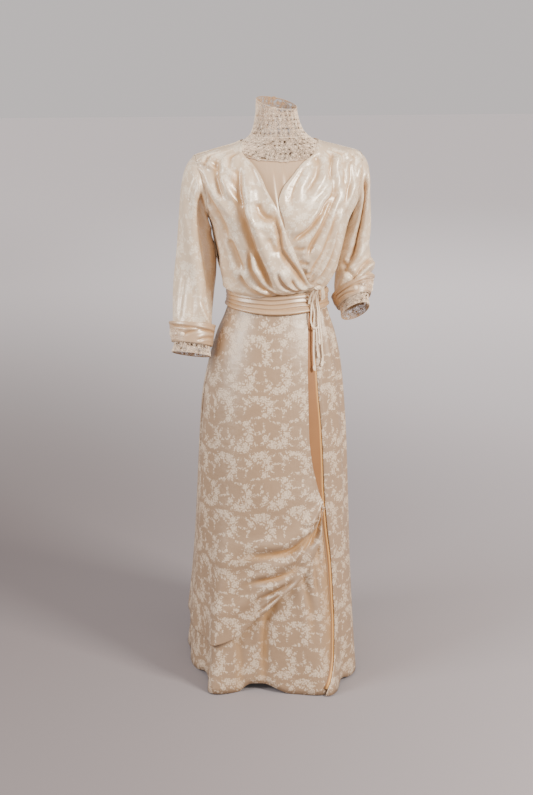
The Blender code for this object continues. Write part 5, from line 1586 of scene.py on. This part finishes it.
def make_tie():
    """A knot over the sash, two loops and four ends of folded ribbon with knotted tips."""
    for name, points in RIBBONS.items():
        long, wide = LOOP_SIZES.get(name, END_SIZE)
        place = ribbon(points, 0.25 if name == "tie_loop_wide" else 0.0)
        hang(name, (26, int(600 * long)), place, "tie_satin",
             wall=None)

    bm = bmesh.new()
    bmesh.ops.create_uvsphere(bm, u_segments=36, v_segments=20, radius=1)
    flat = np.array([v.co for v in bm.verts])
    folds = 1 + 0.13 * np.sin(8 * (flat[:, 0] + 0.75 * flat[:, 2])) * (1 - np.abs(flat[:, 2]) ** 2)
    flat = flat * folds[:, None]
    turn = KNOT.turn + np.degrees(flat[:, 0] * KNOT.half_width * 0.85 / 0.1)
    height = KNOT.height + flat[:, 2] * KNOT.half_width * 0.85
    spots = to_frame(on_figure(turn, height, KNOT.out + 0.0055 * (1 + flat[:, 1])))
    for vertex, spot in zip(bm.verts, spots):
        vertex.co = spot
    bmesh.ops.recalc_face_normals(bm, faces=bm.faces)
    settle(smooth_mesh(bm, "tie_knot_made"), "tie_satin", ["tie_knot"])


def make_stage():
    """A pale floor without walls, so that no side is hidden, with painted shade and a painted glow on it;
    two soft lights in front and one above.
    """
    bm = bmesh.new()
    bmesh.ops.create_grid(bm, x_segments=8, y_segments=8, size=30)
    for vertex in bm.verts:
        vertex.co.z = -CARRY_HEIGHT - 0.001
    floor = bpy.data.objects.new("floor", smooth_mesh(bm, "floor"))
    paper = Finish("floor_paper", (0.36, 0.32, 0.322), 0.9)
    where = paper.node("TexCoord").outputs["Object"]
    across = paper.sum(paper.node("SeparateXYZ", {}, Vector=where).outputs[0])
    away = paper.sum(paper.vector("LENGTH", where).outputs["Value"])
    # Painted shade: the floor is darker near the gown, more so to its left, and pale far off.
    near = paper.blend(paper.step(-1.0, 1.2, across), (0.20, 0.168, 0.162), (0.34, 0.30, 0.30))
    paper.drive("Base Color", paper.blend(paper.step(1.6, 6.5, away), near, (0.92, 0.875, 0.875)))
    # Painted light: the floor glows, towards the right and further off, and faintly everywhere far away.
    painted_glow_mask = paper.step(-1.2, 1.6, across) * paper.step(0.6, 3.5, away)
    painted_glow = paper.blend(painted_glow_mask, (0.0, 0.0, 0.0), (0.95, 0.88, 0.90))
    paper.drive("Emission Strength", 0.35)
    paper.drive("Emission Color", paper.blend(paper.step(5.0, 12.0, away), painted_glow, (0.34, 0.31, 0.31)))
    floor.data.materials.append(paper.material)
    bpy.context.scene.collection.objects.link(floor)

    world = bpy.data.worlds.new("soft_room")
    world.use_nodes = True
    world.node_tree.nodes["Background"].inputs["Color"].default_value = (1.0, 0.93, 0.92, 1)
    world.node_tree.nodes["Background"].inputs["Strength"].default_value = 0.70
    bpy.context.scene.world = world

    Light = namedtuple("Light", "name place aim size power colour")
    lights = (
        Light("right_window", (1.9, -2.3, 1.15), (0, 0, -0.25), 0.9, 190, (1.0, 0.965, 0.92)),
        Light("left_window", (-2.5, -0.9, 0.6), (0, 0, -0.35), 1.3, 80, (0.97, 0.975, 1.0)),
        Light("overhead", (0.0, -0.9, 2.5), (0, 0.05, -0.3), 1.0, 16, (1.0, 0.98, 0.96)),
    )
    for light in lights:
        data = bpy.data.lights.new(light.name, "AREA")
        data.size = light.size
        data.energy = light.power
        data.color = light.colour
        made = bpy.data.objects.new(light.name, data)
        made.location = light.place
        made.rotation_euler = (Vector(light.aim) - made.location).to_track_quat("-Z", "Y").to_euler()
        bpy.context.scene.collection.objects.link(made)


def make_camera():
    """A long view from a little to the wearer's right and above, as the photograph's."""
    side, drop, away, high = math.radians(-10), math.radians(14), 3.4, 1.55
    middle = 0.7
    shift = 10.5 / 1399  # how far the gown stands right of the picture's middle, per metre of depth
    toward = Vector((math.sin(side), -math.cos(side), 0))
    right = Vector((math.cos(side), math.sin(side), 0))
    forward = -toward * math.cos(drop) + Vector((0, 0, -math.sin(drop)))
    up = right.cross(forward)
    depth = away * math.cos(drop) + (high - middle) * math.sin(drop)
    place = toward * away + Vector((0, 0, high)) - right * (shift * depth)
    data = bpy.data.cameras.new("camera")
    data.lens = 63.35
    data.sensor_width = 36
    camera = bpy.data.objects.new("camera", data)
    camera.location = place - Vector((0, 0, CARRY_HEIGHT))
    camera.rotation_euler = Matrix((right, up, -forward)).transposed().to_euler()
    bpy.context.scene.collection.objects.link(camera)
    bpy.context.scene.camera = camera


make_fronts()
make_back()
make_chemisette()
make_skirts()
make_sash()
make_collar()
make_yoke()
for word, side, arm, folds, creases, trim in (
    ("right", -1, RIGHT_ARM, RIGHT_SLEEVE_FOLDS, RIGHT_SLEEVE_CREASES, RIGHT_TRIM),
    ("left", 1, LEFT_ARM, LEFT_SLEEVE_FOLDS, LEFT_SLEEVE_CREASES, LEFT_TRIM),
):
    make_sleeve(word, side, arm, folds, creases)
    make_lace_cuff(word, side, arm)
    make_trim(word, side, arm, trim)
for _, pattern in SHAPES:
    bpy.data.meshes.remove(pattern)
make_tie()
make_stage()
make_camera()
